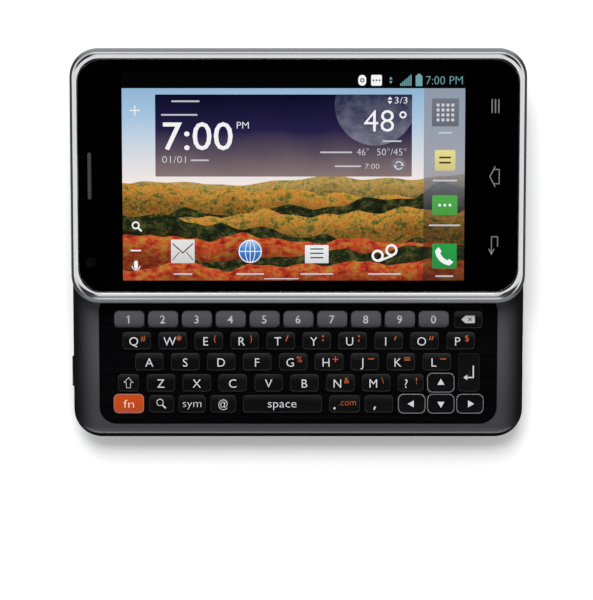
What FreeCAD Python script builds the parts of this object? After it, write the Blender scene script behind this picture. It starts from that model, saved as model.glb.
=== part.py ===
"""Landscape keyboard phone with a sliding display half, as separate pieces.

Millimetres.  The phone lies on its back with the slide open.  +Z comes out of the
screen, +X runs along the long side, +Y is the way the display half opens.  The
origin is the centre of the keyboard half's flat back.
"""
import FreeCAD, Part
import os
from math import cos, radians, sin

os.makedirs("parts", exist_ok=True)
Vector = FreeCAD.Vector

# ---------------------------------------------------------------- keyboard half
BASE_WIDTH = 65.3          # over the long sides
BASE_CORNER = 7.3          # plan radius of the corners
END_FRAME = 6.8            # rim left and right of the keypad deck
FRONT_FRAME = 3.45         # rim in front of the keypad deck
BACK_WALL = 1.65           # rim behind the slide plate
RIM_ROUND = 1.8            # rounding of the rim's upper edge
FRAME_SKIRT = 1.0          # rear frame below the chassis floor, down to the back cover
COVER_WALL = 0.9
COVER_ROUND = 2.0          # rounding of the back cover's lower edge
COVER_EDGE = 1.4           # thickness of the back cover's upright edge
FLOOR_THICK = 0.4          # chassis floor between keypad and battery

# ----------------------------------------------------------------------- keypad
LETTER_WIDTH = 7.2
LETTER_GAP = 2.1
NUMBER_WIDTH = 7.74
NUMBER_GAP = 1.0
ARROW_WIDTH = 7.0
ARROW_GAP = 0.55
ENTER_WIDTH = 5.35
SHIFT_WIDTH = 5.35
FN_WIDTH = 7.8
SPACE_WIDTH = 20.3
SEARCH_WIDTH = 6.3
SYMBOL_WIDTH = 6.8
AT_WIDTH = 6.5
POINT_WIDTH = 7.85
QUERY_WIDTH = 6.6
SMALL_GAP = 1.4            # between the smaller keys of the front row
WIDE_GAP = 2.0             # beside the enter, space and shift keys
ROW_INSETS = (0.5, 2.7, 5.9, 1.4, 0.2)  # left end of each row, from the numbers down
ROW_PITCH = 5.485
KEY_ROW_GAP = 1.085        # between the keys of two rows
ARROW_ROW_GAP = 0.485
KEY_CORNER = 0.6
KEY_ROUND = 0.25           # rounding of a key's upper edge
KEY_END_MARGIN = 3.48      # longest row to the end of the deck
DECK_CORNER = 4.4
FRONT_ROW_IN = 5.28        # deck's front edge to the centre of the front row
DECK_BEHIND_KEYS = 6.37    # centre of the number row to the deck's back edge
DECK_DROP = 0.55           # deck below the rim and the key tops
DECK_THICK = 0.6
DECK_LEDGE = 1.2           # what the deck panel rests on
KEY_SIDE_CLEARANCE = 0.12  # key to its hole in the deck
KEY_BELOW_DECK = 0.15      # key body reaches this far under the deck panel
KEY_TRAVEL = 0.25
PRESS_STOP = 0.05          # air left behind a key that is fully pressed
MAT_THICK = 0.35
DOME_HEIGHT = 0.25
DOME_RADIUS = 1.6
KEY_BOARD_THICK = 0.4

# ----------------------------------------------------------------- display half
SLAB_INSET_END = 0.55      # display half shorter than the keyboard half, each end
SLAB_INSET_SIDE = 0.45
SLAB_CORNER = 7.2
SLAB_ROUND = 0.7           # rounding of the housing's edges
SLAB_FLOOR = 0.45          # housing floor between the slide's channels and the display
TRAVEL = 34.7              # opening stroke of the slide
SLIDE_GAP = 0.25           # air between the two halves
RIM_END = 2.0              # housing edge to glass at the short ends
RIM_SIDE = 2.85            # the same along the long sides
BAND = 1.0                 # housing edge seen outside the bright bezel
BAND_DROP = 0.7            # housing edge below the glass
BEZEL_HEIGHT = 1.7
BEZEL_PROUD = 0.05         # bezel's top below the glass surface
BEZEL_ROUND = 0.75
GLASS_CORNER = 6.2
GLASS_THICK = 1.0
GLASS_ROUND = 0.2
DISPLAY_THICK = 2.0
DISPLAY_CORNER = 0.8
DISPLAY_SIDE = 1.65        # glass edge to display along the long sides
TOUCH_END = 10.45          # the same at the end with the touch buttons
EARPIECE_GAP = 3.2         # display to the earpiece at the other end
FIT = 0.05                 # clearance between parts that are fixed together

# -------------------------------------------------------------- slide mechanism
PLATE_THICK = 0.7          # both slide plates
PLATE_END_MARGIN = 1.5     # slide plates to the deck opening's ends
PLATE_SEAT = 1.4           # ledge that the lower plate rests on
CARRIAGE_MARGIN = 1.6      # upper plate to the long edges of the housing
RAIL_INSET = 4.0           # rail centre line to the end of its plate
RAIL_MARGIN = 1.6          # rail ends to the edges of the lower plate
NECK_WIDTH = 2.0
HEAD_WIDTH = 4.0
HEAD_THICK = 0.6
RUN = 0.1                  # running clearance of the slide, each side
STOP_GAP = 0.3             # rail end to the end of its slot at either limit
SLOT_EDGE = 2.3            # least distance from a slot's end to the housing's edge
STUD_X = 12.0              # spring stud on the lower plate
STUD_RADIUS = 0.8
PIN_X = 28.0               # spring pin on the upper plate
PIN_RADIUS = 0.8
SPRING_WIRE = 0.25         # radius
SPRING_BOW = 5.0           # how far the spring bows out between its ends
SPRING_ROOM = 2.6          # spring pocket beyond pin and stud
FLEX_WIDTH = 10.0
FLEX_THICK = 0.15
FLEX_DIP = 2.4             # window beside the place where the flex dips
FLEX_ROOM = 1.0            # beside the flex in its window
FLEX_LIFT = 0.6            # flex above the chassis floor
FLEX_TAIL = 6.0            # flex laid along the chassis floor
FLEX_PLUG = 3.0
FLEX_BEHIND = 8.0          # flex's end to the back edge of the upper plate
PLATE_CORNER = 1.5
SCREW_HEAD = 1.2           # radius
SCREW_SHANK = 0.7          # radius
SCREW_EDGE = 2.6           # screw centre from the edge of the upper plate

# ---------------------------------------------------------- pieces in the slab
EARPIECE_END = 3.05        # slot centre to the glass end
EARPIECE_SLOT = 11.9
EARPIECE_SLOT_WIDTH = 0.96
EARPIECE_LENGTH = 14.0
EARPIECE_WIDTH = 3.6
EARPIECE_THICK = 1.8
EARPIECE_CORNER = 1.0
CAMERA_EYE_RADIUS = 1.05
FRONT_CAMERA_SIDE = 3.6
FRONT_CAMERA_THICK = 2.0
FRONT_CAMERA_CORNER = 0.6
FRONT_CAMERA_EYE = 0.3     # height of its lens ring
FRONT_CAMERA_EDGE = 7.55   # its middle to the front edge of the glass

# ------------------------------------------------- pieces in the keyboard half
BATTERY_LENGTH = 54.0
BATTERY_WIDTH = 38.0
BATTERY_THICK = 2.9
BATTERY_CORNER = 1.5
BATTERY_ROOM = 0.4         # beside the battery, in the main board's bay
BATTERY_AIR = 0.1          # above and below the battery
BATTERY_FRONT = 2.25       # battery to the front wall of the rear frame
BATTERY_CAMERA_GAP = 8.7
BOARD_THICK = 0.8
BOARD_MARGIN = 1.0
CAN_DROP = 1.5             # shield cans below the board
CAN_MARGIN = 1.5
CAN_WIDTH = 18.0
CAN_BEHIND = 18.2          # middle of the shield cans behind the deck's front edge
CAMERA_END = 20.3          # camera's middle to the left end
CAMERA_BEHIND = 8.6        # and behind the deck
CAMERA_SIDE = 8.6
CAMERA_AIR = 0.2           # above the camera module
CAMERA_LENS_RADIUS = 2.9
CAMERA_LENS_LENGTH = 1.2
CAMERA_CORNER = 0.5
WINDOW_LENGTH = 20.0
WINDOW_WIDTH = 10.0
WINDOW_THICK = 0.7
WINDOW_CORNER = 2.0
WINDOW_RECESS = 0.12
FLASH_OFFSET = 9.0         # flash from the lens, along the window
SPEAKER_LENGTH = 16.0
SPEAKER_WIDTH = 11.0
SPEAKER_CORNER = 1.5
SPEAKER_AIR = 0.3          # between the loudspeaker and the main board
SPEAKER_BATTERY_GAP = 5.0  # beside the battery
SPEAKER_BEHIND = 9.6       # and behind the deck
GRILLE_SLOTS = 5
GRILLE_PITCH = 2.0
GRILLE_SLOT_WIDTH = 0.8
GRILLE_SLOT_LENGTH = 9.0
USB_WIDTH = 7.5
USB_HEIGHT = 2.7
USB_DEPTH = 5.6
USB_WALL = 0.3
USB_TONGUE = 0.5           # thickness of the contact tongue
USB_TONGUE_IN = 1.2        # tongue behind the mouth
SOCKET_RECESS = 0.35       # sockets sit this far inside the ends
USB_FRONT = 22.65          # its middle to the front edge
USB_SILL = 0.1             # above the back cover
JACK_BORE = 1.8            # radius, for a 3.5 mm headset plug
JACK_END_WALL = 0.6
JACK_BARREL = 2.4          # radius
JACK_LENGTH = 14.0
JACK_BACK = 10.15          # its middle to the back edge
JACK_SILL = 0.2            # above the back cover's wall
SIDE_KEY_HEIGHT = 2.2
SIDE_KEY_DEPTH = 2.0
SIDE_KEY_PROUD = 0.35
SIDE_KEY_ROUND = 0.28
SIDE_KEY_SILL = 0.6        # above the back cover
SIDE_KEY_CLEARANCE = 0.12
SIDE_KEY_TRAVEL = 0.25
POWER_KEY_LENGTH = 7.9
POWER_KEY_FRONT = 17.2     # its middle to the front edge
VOLUME_KEY_LENGTH = 18.0
VOLUME_KEY_END = 36.3      # its middle to the left end
CAMERA_KEY_LENGTH = 10.0
CAMERA_KEY_END = 24.3      # its middle to the right end
CHASSIS_SCREW_EDGE = 3.2   # screw centre from the rear frame's outside
CHASSIS_SCREW_LENGTH = 2.6
CHASSIS_SCREW_HEAD = 0.7

# ---------------------------------------------- heights worked out, from the back up
FLOOR_BOTTOM = COVER_WALL + BATTERY_THICK + 2 * BATTERY_AIR
FLOOR_TOP = FLOOR_BOTTOM + FLOOR_THICK
COVER_HEIGHT = FLOOR_BOTTOM - FRAME_SKIRT    # parting line between back cover and rear frame
KEY_BOARD_TOP = FLOOR_TOP + KEY_BOARD_THICK
MAT_BOTTOM = KEY_BOARD_TOP + DOME_HEIGHT
MAT_TOP = MAT_BOTTOM + MAT_THICK
KEY_BOTTOM = MAT_TOP + KEY_TRAVEL + PRESS_STOP
DECK_BOTTOM = KEY_BOTTOM + KEY_BELOW_DECK
DECK_TOP = DECK_BOTTOM + DECK_THICK
BASE_HEIGHT = DECK_TOP + DECK_DROP           # rim around the keys, level with the key tops
PLATE_BOTTOM = BASE_HEIGHT - PLATE_THICK
SPEAKER_TOP = FLOOR_BOTTOM - BOARD_THICK - SPEAKER_AIR
CAMERA_TOP = PLATE_BOTTOM - CAMERA_AIR
USB_Z = COVER_HEIGHT + USB_SILL + USB_HEIGHT / 2
JACK_Z = COVER_WALL + JACK_SILL + JACK_BARREL
SIDE_KEY_Z = COVER_HEIGHT + SIDE_KEY_SILL + SIDE_KEY_HEIGHT / 2
SLAB_BOTTOM = BASE_HEIGHT + SLIDE_GAP
CARRIAGE_TOP = SLAB_BOTTOM + PLATE_THICK
HEAD_BOTTOM = CARRIAGE_TOP + RUN
HEAD_TOP = HEAD_BOTTOM + HEAD_THICK
CHANNEL_TOP = HEAD_TOP + RUN
DISPLAY_BOTTOM = CHANNEL_TOP + SLAB_FLOOR
GLASS_BOTTOM = DISPLAY_BOTTOM + DISPLAY_THICK
SLAB_TOP = GLASS_BOTTOM + GLASS_THICK
BEZEL_TOP = SLAB_TOP - BEZEL_PROUD
BEZEL_BOTTOM = BEZEL_TOP - BEZEL_HEIGHT


# ------------------------------------------------------------------ basic shapes
def block(x0, x1, y0, y1, z0, z1):
    """Box between two opposite corners."""
    return Part.makeBox(x1 - x0, y1 - y0, z1 - z0, Vector(x0, y0, z0))


def plate(length, width, corner, z0, z1, x=0.0, y=0.0):
    """Rounded rectangle about (x, y), from z0 up to z1."""
    a, b, r = length / 2, width / 2, min(corner, length / 2 - 0.01, width / 2 - 0.01)
    centres = ((a - r, b - r, 0), (r - a, b - r, 90), (r - a, r - b, 180), (a - r, r - b, 270))
    arcs = []
    for cx, cy, start in centres:
        turn = [radians(start + step) for step in (0, 45, 90)]
        arcs.append(Part.Arc(*[Vector(x + cx + r * cos(t), y + cy + r * sin(t), z0) for t in turn]))
    edges = []
    for arc, following in zip(arcs, arcs[1:] + arcs[:1]):
        edges += [arc.toShape(), Part.LineSegment(arc.EndPoint, following.StartPoint).toShape()]
    return Part.Face(Part.Wire(edges)).extrude(Vector(0, 0, z1 - z0))


def post(x, y, z0, z1, radius):
    """Upright cylinder."""
    return Part.makeCylinder(radius, z1 - z0, Vector(x, y, z0))


def rounded_edges(shape, height, radius):
    """Round the edges that lie flat at one height."""
    edges = [e for e in shape.Edges if abs(e.BoundBox.ZMin - height) < 1e-6 > abs(e.BoundBox.ZMax - height)]
    return shape.makeFillet(radius, edges)


def joined(first, *others):
    """Fuse solids into one."""
    shape = first
    for other in others:
        shape = shape.fuse(other)
    return shape.removeSplitter()


def cut(shape, *tools):
    """Take each tool away from a shape."""
    return shape.cut(Part.Compound([t for t in tools])) if tools else shape


def save(name, *solids):
    """Write one node; several solids stay separate in it."""
    shape = solids[0] if len(solids) == 1 else Part.Compound(list(solids))
    shape.exportStep("parts/" + name + ".step")
    sizes = shape.BoundBox
    print(f"{name:20s} solids {len(shape.Solids):3d}  volume {shape.Volume:9.2f}  "
          f"z {sizes.ZMin:6.2f} to {sizes.ZMax:6.2f}  valid {shape.isValid()}")


# ------------------------------------------------------------------- key layout
KEY_DEPTH = ROW_PITCH - KEY_ROW_GAP
ARROW_DEPTH = ROW_PITCH - ARROW_ROW_GAP


def key_rows():
    """Rows from the numbers down, each a list of (node, gap before, width, depth)."""
    def key(node, gap, width, depth=KEY_DEPTH):
        return (node, gap, width, depth)

    def letters(names):
        return [key("key_" + name, LETTER_GAP * (name != names[0]), LETTER_WIDTH) for name in names]

    numbers = [key("number_keys", NUMBER_GAP * (i > 0), NUMBER_WIDTH) for i in range(10)]
    enter = key("edit_keys", WIDE_GAP, ENTER_WIDTH, KEY_DEPTH + ROW_PITCH)
    shift_row = [key("key_shift", 0.0, SHIFT_WIDTH)]
    shift_row += [key("key_" + name, LETTER_GAP, LETTER_WIDTH) for name in "zxcvbnm"]
    shift_row += [key("symbol_keys", WIDE_GAP, QUERY_WIDTH),
                  key("arrow_keys", NUMBER_GAP, ARROW_WIDTH, ARROW_DEPTH)]
    front_row = [key("key_fn", 0.0, FN_WIDTH, ARROW_DEPTH)]
    front_row += [key("symbol_keys", SMALL_GAP, width) for width in (SEARCH_WIDTH, SYMBOL_WIDTH, AT_WIDTH)]
    front_row += [key("key_space", WIDE_GAP, SPACE_WIDTH), key("symbol_keys", WIDE_GAP, POINT_WIDTH),
                  key("symbol_keys", SMALL_GAP, LETTER_WIDTH)]
    arrow_gaps = (SMALL_GAP, ARROW_GAP, ARROW_GAP)
    front_row += [key("arrow_keys", gap, ARROW_WIDTH, ARROW_DEPTH) for gap in arrow_gaps]
    return [
        numbers + [key("edit_keys", SMALL_GAP, LETTER_WIDTH)],
        letters("qwertyuiop"),
        letters("asdfghjkl") + [enter],
        shift_row,
        front_row,
    ]


ROWS = key_rows()
FIELD_LENGTH = max(inset + sum(key[1] + key[2] for key in row) for inset, row in zip(ROW_INSETS, ROWS))
DECK_LENGTH = FIELD_LENGTH + 2 * KEY_END_MARGIN
BASE_LENGTH = DECK_LENGTH + 2 * END_FRAME
SLAB_LENGTH = BASE_LENGTH - 2 * SLAB_INSET_END
SLAB_WIDTH = BASE_WIDTH - 2 * SLAB_INSET_SIDE
GLASS_LENGTH = SLAB_LENGTH - 2 * RIM_END
GLASS_WIDTH = SLAB_WIDTH - 2 * RIM_SIDE
EARPIECE_X = EARPIECE_END - GLASS_LENGTH / 2
FRONT_CAMERA_Y = TRAVEL + FRONT_CAMERA_EDGE - GLASS_WIDTH / 2
DISPLAY_LEFT = EARPIECE_X + EARPIECE_WIDTH / 2 + EARPIECE_GAP
DISPLAY_LENGTH = GLASS_LENGTH / 2 - TOUCH_END - DISPLAY_LEFT
DISPLAY_X = DISPLAY_LEFT + DISPLAY_LENGTH / 2
DISPLAY_WIDTH = GLASS_WIDTH - 2 * DISPLAY_SIDE
DECK_FRONT = FRONT_FRAME - BASE_WIDTH / 2
NUMBER_ROW_Y = DECK_FRONT + FRONT_ROW_IN + ROW_PITCH * (len(ROWS) - 1)
DECK_BACK = NUMBER_ROW_Y + DECK_BEHIND_KEYS
BAY_LENGTH = BASE_LENGTH - 2 * END_FRAME     # what the rear frame leaves for board and battery
BAY_WIDTH = BASE_WIDTH - 4 * CHASSIS_SCREW_EDGE
CAMERA_X = CAMERA_END - BASE_LENGTH / 2
CAMERA_Y = DECK_BACK + CAMERA_BEHIND
BATTERY_X = CAMERA_X + CAMERA_SIDE / 2 + BATTERY_CAMERA_GAP + BATTERY_LENGTH / 2
BATTERY_Y = BATTERY_FRONT - BAY_WIDTH / 2 + BATTERY_WIDTH / 2
CAN_Y = DECK_FRONT + CAN_BEHIND
SPEAKER_X = BATTERY_X + BATTERY_LENGTH / 2 + SPEAKER_BATTERY_GAP + SPEAKER_LENGTH / 2
SPEAKER_Y = DECK_BACK + SPEAKER_BEHIND
USB_Y = USB_FRONT - BASE_WIDTH / 2
JACK_Y = BASE_WIDTH / 2 - JACK_BACK
PLATE_BACK = BASE_WIDTH / 2 - BACK_WALL
PLATE_LENGTH = DECK_LENGTH - 2 * PLATE_END_MARGIN
RAIL_X = PLATE_LENGTH / 2 - RAIL_INSET
RAIL_BACK = PLATE_BACK - RAIL_MARGIN
RAIL_FRONT = max(DECK_BACK + RAIL_MARGIN, TRAVEL - SLAB_WIDTH / 2 + SLOT_EDGE + STOP_GAP)
STUD_Y = (RAIL_FRONT + RAIL_BACK) / 2
FLEX_Y = RAIL_BACK - 2.0   # where the flex dips into the keyboard half


def key_places():
    """Each key as (node, x, y, width, depth)."""
    places = []
    for number, (inset, row) in enumerate(zip(ROW_INSETS, ROWS)):
        x = inset - FIELD_LENGTH / 2
        for node, gap, width, depth in row:
            x += gap
            y = NUMBER_ROW_Y - number * ROW_PITCH
            if depth > KEY_DEPTH + ROW_PITCH / 2:
                y -= ROW_PITCH / 2     # the enter key spans this row and the next
            places.append((node, x + width / 2, y, width, depth))
            x += width
    return places


KEYS = key_places()


# ----------------------------------------------------------- keyboard half: keypad
def build_keys():
    """Key caps, one solid each, named for the key or its group."""
    nodes = {}
    for node, x, y, width, depth in KEYS:
        cap = plate(width, depth, KEY_CORNER, KEY_BOTTOM, BASE_HEIGHT, x, y)
        nodes.setdefault(node, []).append(rounded_edges(cap, BASE_HEIGHT, KEY_ROUND))
    for node, caps in nodes.items():
        save(node, *caps)


def build_keypad():
    """Deck panel with its key holes, the silicone mat and the key board."""
    deck_middle = (DECK_FRONT + DECK_BACK) / 2
    deck_width = DECK_BACK - DECK_FRONT
    panel = plate(DECK_LENGTH - 2 * FIT, deck_width - 2 * FIT, DECK_CORNER, DECK_BOTTOM, DECK_TOP,
                  0, deck_middle)
    grow = 2 * KEY_SIDE_CLEARANCE
    corner = KEY_CORNER + KEY_SIDE_CLEARANCE
    holes = [plate(w + grow, d + grow, corner, DECK_BOTTOM - 1, DECK_TOP + 1, x, y) for _, x, y, w, d in KEYS]
    save("deck_panel", cut(panel, *holes))
    room = 2 * (DECK_LEDGE + FIT)
    sheet = (DECK_LENGTH - room, deck_width - room, DECK_CORNER - DECK_LEDGE)
    save("keypad_mat", plate(*sheet, MAT_BOTTOM, MAT_TOP, 0, deck_middle))
    board = plate(*sheet, FLOOR_TOP, KEY_BOARD_TOP, 0, deck_middle)
    domes = [post(x, y, KEY_BOARD_TOP, MAT_BOTTOM, DOME_RADIUS) for _, x, y, _, _ in KEYS]
    save("key_board", board, *domes)


# ---------------------------------------------------------- keyboard half: shells
def side_key_places():
    """Side keys as node: (length, x, y, turn about Z)."""
    back, right = BASE_WIDTH / 2, BASE_LENGTH / 2
    return {"power_key": (POWER_KEY_LENGTH, -right, POWER_KEY_FRONT - back, 90),
            "volume_key": (VOLUME_KEY_LENGTH, VOLUME_KEY_END - right, back, 0),
            "camera_key": (CAMERA_KEY_LENGTH, right - CAMERA_KEY_END, back, 0)}


def placed(shape, x, y, turn):
    """Turn a shape about Z and move it to a side key's place."""
    moved = shape.copy()
    moved.Placement = FreeCAD.Placement(Vector(x, y, SIDE_KEY_Z), FreeCAD.Rotation(Vector(0, 0, 1), turn))
    return moved


def build_side_keys():
    """Power, volume and camera keys."""
    for node, (length, x, y, turn) in side_key_places().items():
        key = block(-length / 2, length / 2, -SIDE_KEY_DEPTH, SIDE_KEY_PROUD,
                    -SIDE_KEY_HEIGHT / 2, SIDE_KEY_HEIGHT / 2)
        face = [e for e in key.Edges if e.BoundBox.YMin > SIDE_KEY_PROUD - 1e-6]
        save(node, placed(key.makeFillet(SIDE_KEY_ROUND, face), x, y, turn))


def side_key_pocket(length):
    """Room for a side key, with the gap behind it that its travel needs."""
    c = SIDE_KEY_CLEARANCE
    back = SIDE_KEY_DEPTH + SIDE_KEY_TRAVEL + PRESS_STOP
    return block(-length / 2 - c, length / 2 + c, -back, SIDE_KEY_PROUD + 1,
                 -SIDE_KEY_HEIGHT / 2 - c, SIDE_KEY_HEIGHT / 2 + c)


def chassis_screw_places():
    """Three screws along each long side of the keyboard half."""
    x = BASE_LENGTH / 2 - BASE_CORNER
    y = BASE_WIDTH / 2 - CHASSIS_SCREW_EDGE
    return [(sx, sy * y) for sx in (-x, 0.0, x) for sy in (-1, 1)]


def build_rear_frame():
    """Rim around the keypad, chassis floor and seats for the plates and boards."""
    body = plate(BASE_LENGTH, BASE_WIDTH, BASE_CORNER, COVER_HEIGHT, BASE_HEIGHT)
    body = rounded_edges(body, BASE_HEIGHT, RIM_ROUND)
    middle = (DECK_FRONT + DECK_BACK) / 2
    width = DECK_BACK - DECK_FRONT
    ledge = 2 * DECK_LEDGE
    above, below = BASE_HEIGHT + 1, COVER_HEIGHT - 1
    tools = [
        plate(DECK_LENGTH, width, DECK_CORNER, DECK_BOTTOM, above, 0, middle),
        plate(DECK_LENGTH - ledge, width - ledge, DECK_CORNER - DECK_LEDGE, FLOOR_TOP, above, 0, middle),
        block(-PLATE_LENGTH / 2, PLATE_LENGTH / 2, DECK_BACK - FIT, PLATE_BACK, PLATE_BOTTOM, above),
        block(PLATE_SEAT - PLATE_LENGTH / 2, PLATE_LENGTH / 2 - PLATE_SEAT, DECK_BACK + PLATE_SEAT,
              PLATE_BACK - PLATE_SEAT, FLOOR_TOP, above),
        plate(BAY_LENGTH, BAY_WIDTH, BASE_CORNER, below, FLOOR_BOTTOM),
        plate(CAMERA_SIDE + 2 * FIT, CAMERA_SIDE + 2 * FIT, CAMERA_CORNER, below, CAMERA_TOP + FIT,
              CAMERA_X, CAMERA_Y),
        usb_block(FIT, SOCKET_RECESS + FIT),
        jack_hole(),
    ]
    tools += [placed(side_key_pocket(length), x, y, turn)
              for length, x, y, turn in side_key_places().values()]
    tools += [post(x, y, below, COVER_HEIGHT + CHASSIS_SCREW_LENGTH, SCREW_SHANK)
              for x, y in chassis_screw_places()]
    save("rear_frame", cut(body, *tools))


def build_battery_cover():
    """Back cover: a shallow tray with a camera window, a grille and room for the screws."""
    outer = plate(BASE_LENGTH, BASE_WIDTH, BASE_CORNER, 0, COVER_HEIGHT)
    outer = rounded_edges(outer, 0, COVER_ROUND)
    wall = 2 * COVER_EDGE
    inner = plate(BASE_LENGTH - wall, BASE_WIDTH - wall, BASE_CORNER - COVER_EDGE, COVER_WALL,
                  COVER_HEIGHT + 1)
    inner = rounded_edges(inner, COVER_WALL, COVER_ROUND / 2)
    window = plate(WINDOW_LENGTH + 2 * FIT, WINDOW_WIDTH + 2 * FIT, WINDOW_CORNER, -1, COVER_WALL + 1,
                   CAMERA_X + FLASH_OFFSET / 2, CAMERA_Y)
    offsets = [(i - (GRILLE_SLOTS - 1) / 2) * GRILLE_PITCH for i in range(GRILLE_SLOTS)]
    slots = [plate(GRILLE_SLOT_LENGTH, GRILLE_SLOT_WIDTH, GRILLE_SLOT_WIDTH / 2, -1, COVER_WALL + 1,
                   SPEAKER_X, SPEAKER_Y + dy) for dy in offsets]
    save("battery_cover", cut(outer, inner, window, jack_hole(), *slots))


# ------------------------------------------------------ keyboard half: electronics
def build_battery():
    """Flat battery under the keypad."""
    low = COVER_WALL + BATTERY_AIR
    save("battery", plate(BATTERY_LENGTH, BATTERY_WIDTH, BATTERY_CORNER, low, low + BATTERY_THICK,
                          BATTERY_X, BATTERY_Y))


def build_main_board():
    """Circuit board around the battery, with shield cans on its underside."""
    length = BAY_LENGTH - 2 * BOARD_MARGIN
    width = BAY_WIDTH - 2 * BOARD_MARGIN
    low = FLOOR_BOTTOM - BOARD_THICK
    board = plate(length, width, BASE_CORNER - BOARD_MARGIN, low, FLOOR_BOTTOM)
    room = 2 * BATTERY_ROOM
    bay = plate(BATTERY_LENGTH + room, BATTERY_WIDTH + room, BATTERY_CORNER, low - 1, FLOOR_BOTTOM + 1,
                BATTERY_X, BATTERY_Y)
    camera = plate(CAMERA_SIDE + room, CAMERA_SIDE + room, CAMERA_CORNER, low - 1, FLOOR_BOTTOM + 1,
                   CAMERA_X, CAMERA_Y)
    jack = block(-BASE_LENGTH / 2, SOCKET_RECESS - BASE_LENGTH / 2 + JACK_LENGTH + BATTERY_ROOM,
                 JACK_Y - JACK_BARREL - BATTERY_ROOM, BASE_WIDTH / 2, low - 1, FLOOR_BOTTOM + 1)
    board = cut(board, bay, camera, jack)
    bay_half = BATTERY_LENGTH / 2 + BATTERY_ROOM + CAN_MARGIN
    front, back = CAN_Y - CAN_WIDTH / 2, CAN_Y + CAN_WIDTH / 2
    cans = [block(CAN_MARGIN - length / 2, BATTERY_X - bay_half, front, back, low - CAN_DROP, low),
            block(BATTERY_X + bay_half, length / 2 - CAN_MARGIN, front, back, low - CAN_DROP, low)]
    save("main_board", joined(board, *cans))


def build_rear_camera():
    """Camera module, with its lens barrel facing the back cover, and its window."""
    glass_top = WINDOW_RECESS + WINDOW_THICK
    lens_top = glass_top + CAMERA_LENS_LENGTH
    module = plate(CAMERA_SIDE, CAMERA_SIDE, CAMERA_CORNER, lens_top, CAMERA_TOP, CAMERA_X, CAMERA_Y)
    barrel = post(CAMERA_X, CAMERA_Y, glass_top, lens_top, CAMERA_LENS_RADIUS)
    save("rear_camera", joined(module, barrel))
    save("camera_window", plate(WINDOW_LENGTH, WINDOW_WIDTH, WINDOW_CORNER, WINDOW_RECESS, glass_top,
                                CAMERA_X + FLASH_OFFSET / 2, CAMERA_Y))


def build_loudspeaker():
    """Loudspeaker behind the grille of the back cover."""
    save("loudspeaker", plate(SPEAKER_LENGTH, SPEAKER_WIDTH, SPEAKER_CORNER, COVER_WALL, SPEAKER_TOP,
                              SPEAKER_X, SPEAKER_Y))


def usb_block(grow, mouth):
    """Outer size of the USB socket's shell, grown all round and out of its mouth."""
    right = BASE_LENGTH / 2 - SOCKET_RECESS
    return block(right - USB_DEPTH - grow, right + mouth, USB_Y - USB_WIDTH / 2 - grow,
                 USB_Y + USB_WIDTH / 2 + grow, USB_Z - USB_HEIGHT / 2 - grow, USB_Z + USB_HEIGHT / 2 + grow)


def jack_hole():
    """Room for the headset jack in the left end of the keyboard half."""
    mouth = Vector(-BASE_LENGTH / 2 - 1, JACK_Y, JACK_Z)
    return Part.makeCylinder(JACK_BARREL + FIT, JACK_LENGTH + SOCKET_RECESS + 1 + FIT, mouth, Vector(1, 0, 0))


def build_sockets():
    """Micro USB socket in the right end, headset jack in the left end."""
    right = BASE_LENGTH / 2 - SOCKET_RECESS
    shell = usb_block(0.0, 0.0)
    mouth = block(right - USB_DEPTH + USB_WALL, right + 1, USB_Y - USB_WIDTH / 2 + USB_WALL,
                  USB_Y + USB_WIDTH / 2 - USB_WALL, USB_Z - USB_HEIGHT / 2 + USB_WALL,
                  USB_Z + USB_HEIGHT / 2 - USB_WALL)
    tongue = block(right - USB_DEPTH, right - USB_TONGUE_IN, USB_Y - USB_WIDTH / 4, USB_Y + USB_WIDTH / 4,
                   USB_Z - USB_TONGUE / 2, USB_Z + USB_TONGUE / 2)
    save("usb_port", joined(cut(shell, mouth), tongue))
    left = Vector(SOCKET_RECESS - BASE_LENGTH / 2, JACK_Y, JACK_Z)
    along = Vector(1, 0, 0)
    barrel = Part.makeCylinder(JACK_BARREL, JACK_LENGTH, left, along)
    bore = Part.makeCylinder(JACK_BORE, JACK_LENGTH, left - along * JACK_END_WALL, along)
    save("headset_jack", cut(barrel, bore))


def build_chassis_screws():
    """Screws that hold the rear frame together, driven in from the battery side."""
    screws = [joined(post(x, y, COVER_HEIGHT, COVER_HEIGHT + CHASSIS_SCREW_LENGTH, SCREW_SHANK),
                     post(x, y, COVER_HEIGHT - CHASSIS_SCREW_HEAD, COVER_HEIGHT, SCREW_HEAD))
              for x, y in chassis_screw_places()]
    save("chassis_screws", *screws)


# -------------------------------------------------------------------- slide plates
def build_slide_base():
    """Steel plate of the keyboard half, with two T rails and two spring studs."""
    solids = [block(FIT - PLATE_LENGTH / 2, PLATE_LENGTH / 2 - FIT, DECK_BACK + FIT, PLATE_BACK - FIT,
                    PLATE_BOTTOM, BASE_HEIGHT)]
    for side in (-1, 1):
        x, neck, head = side * RAIL_X, NECK_WIDTH / 2, HEAD_WIDTH / 2
        solids.append(block(x - neck, x + neck, RAIL_FRONT, RAIL_BACK, BASE_HEIGHT, HEAD_BOTTOM))
        solids.append(block(x - head, x + head, RAIL_FRONT, RAIL_BACK, HEAD_BOTTOM, HEAD_TOP))
        solids.append(post(side * STUD_X, STUD_Y, BASE_HEIGHT, HEAD_TOP, STUD_RADIUS))
    window = block(-FLEX_WIDTH / 2 - FLEX_ROOM, FLEX_WIDTH / 2 + FLEX_ROOM, FLEX_Y - FLEX_DIP,
                   FLEX_Y + FLEX_DIP, PLATE_BOTTOM - 1, BASE_HEIGHT + 0.01)
    save("slide_base", cut(joined(*solids), window))


def slab_slot(x, width, front, back, low, high):
    """Slot in the display half for something of the keyboard half that spans front to back."""
    half = width / 2 + RUN
    return block(x - half, x + half, front - STOP_GAP, back + TRAVEL + STOP_GAP, low, high)


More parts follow.
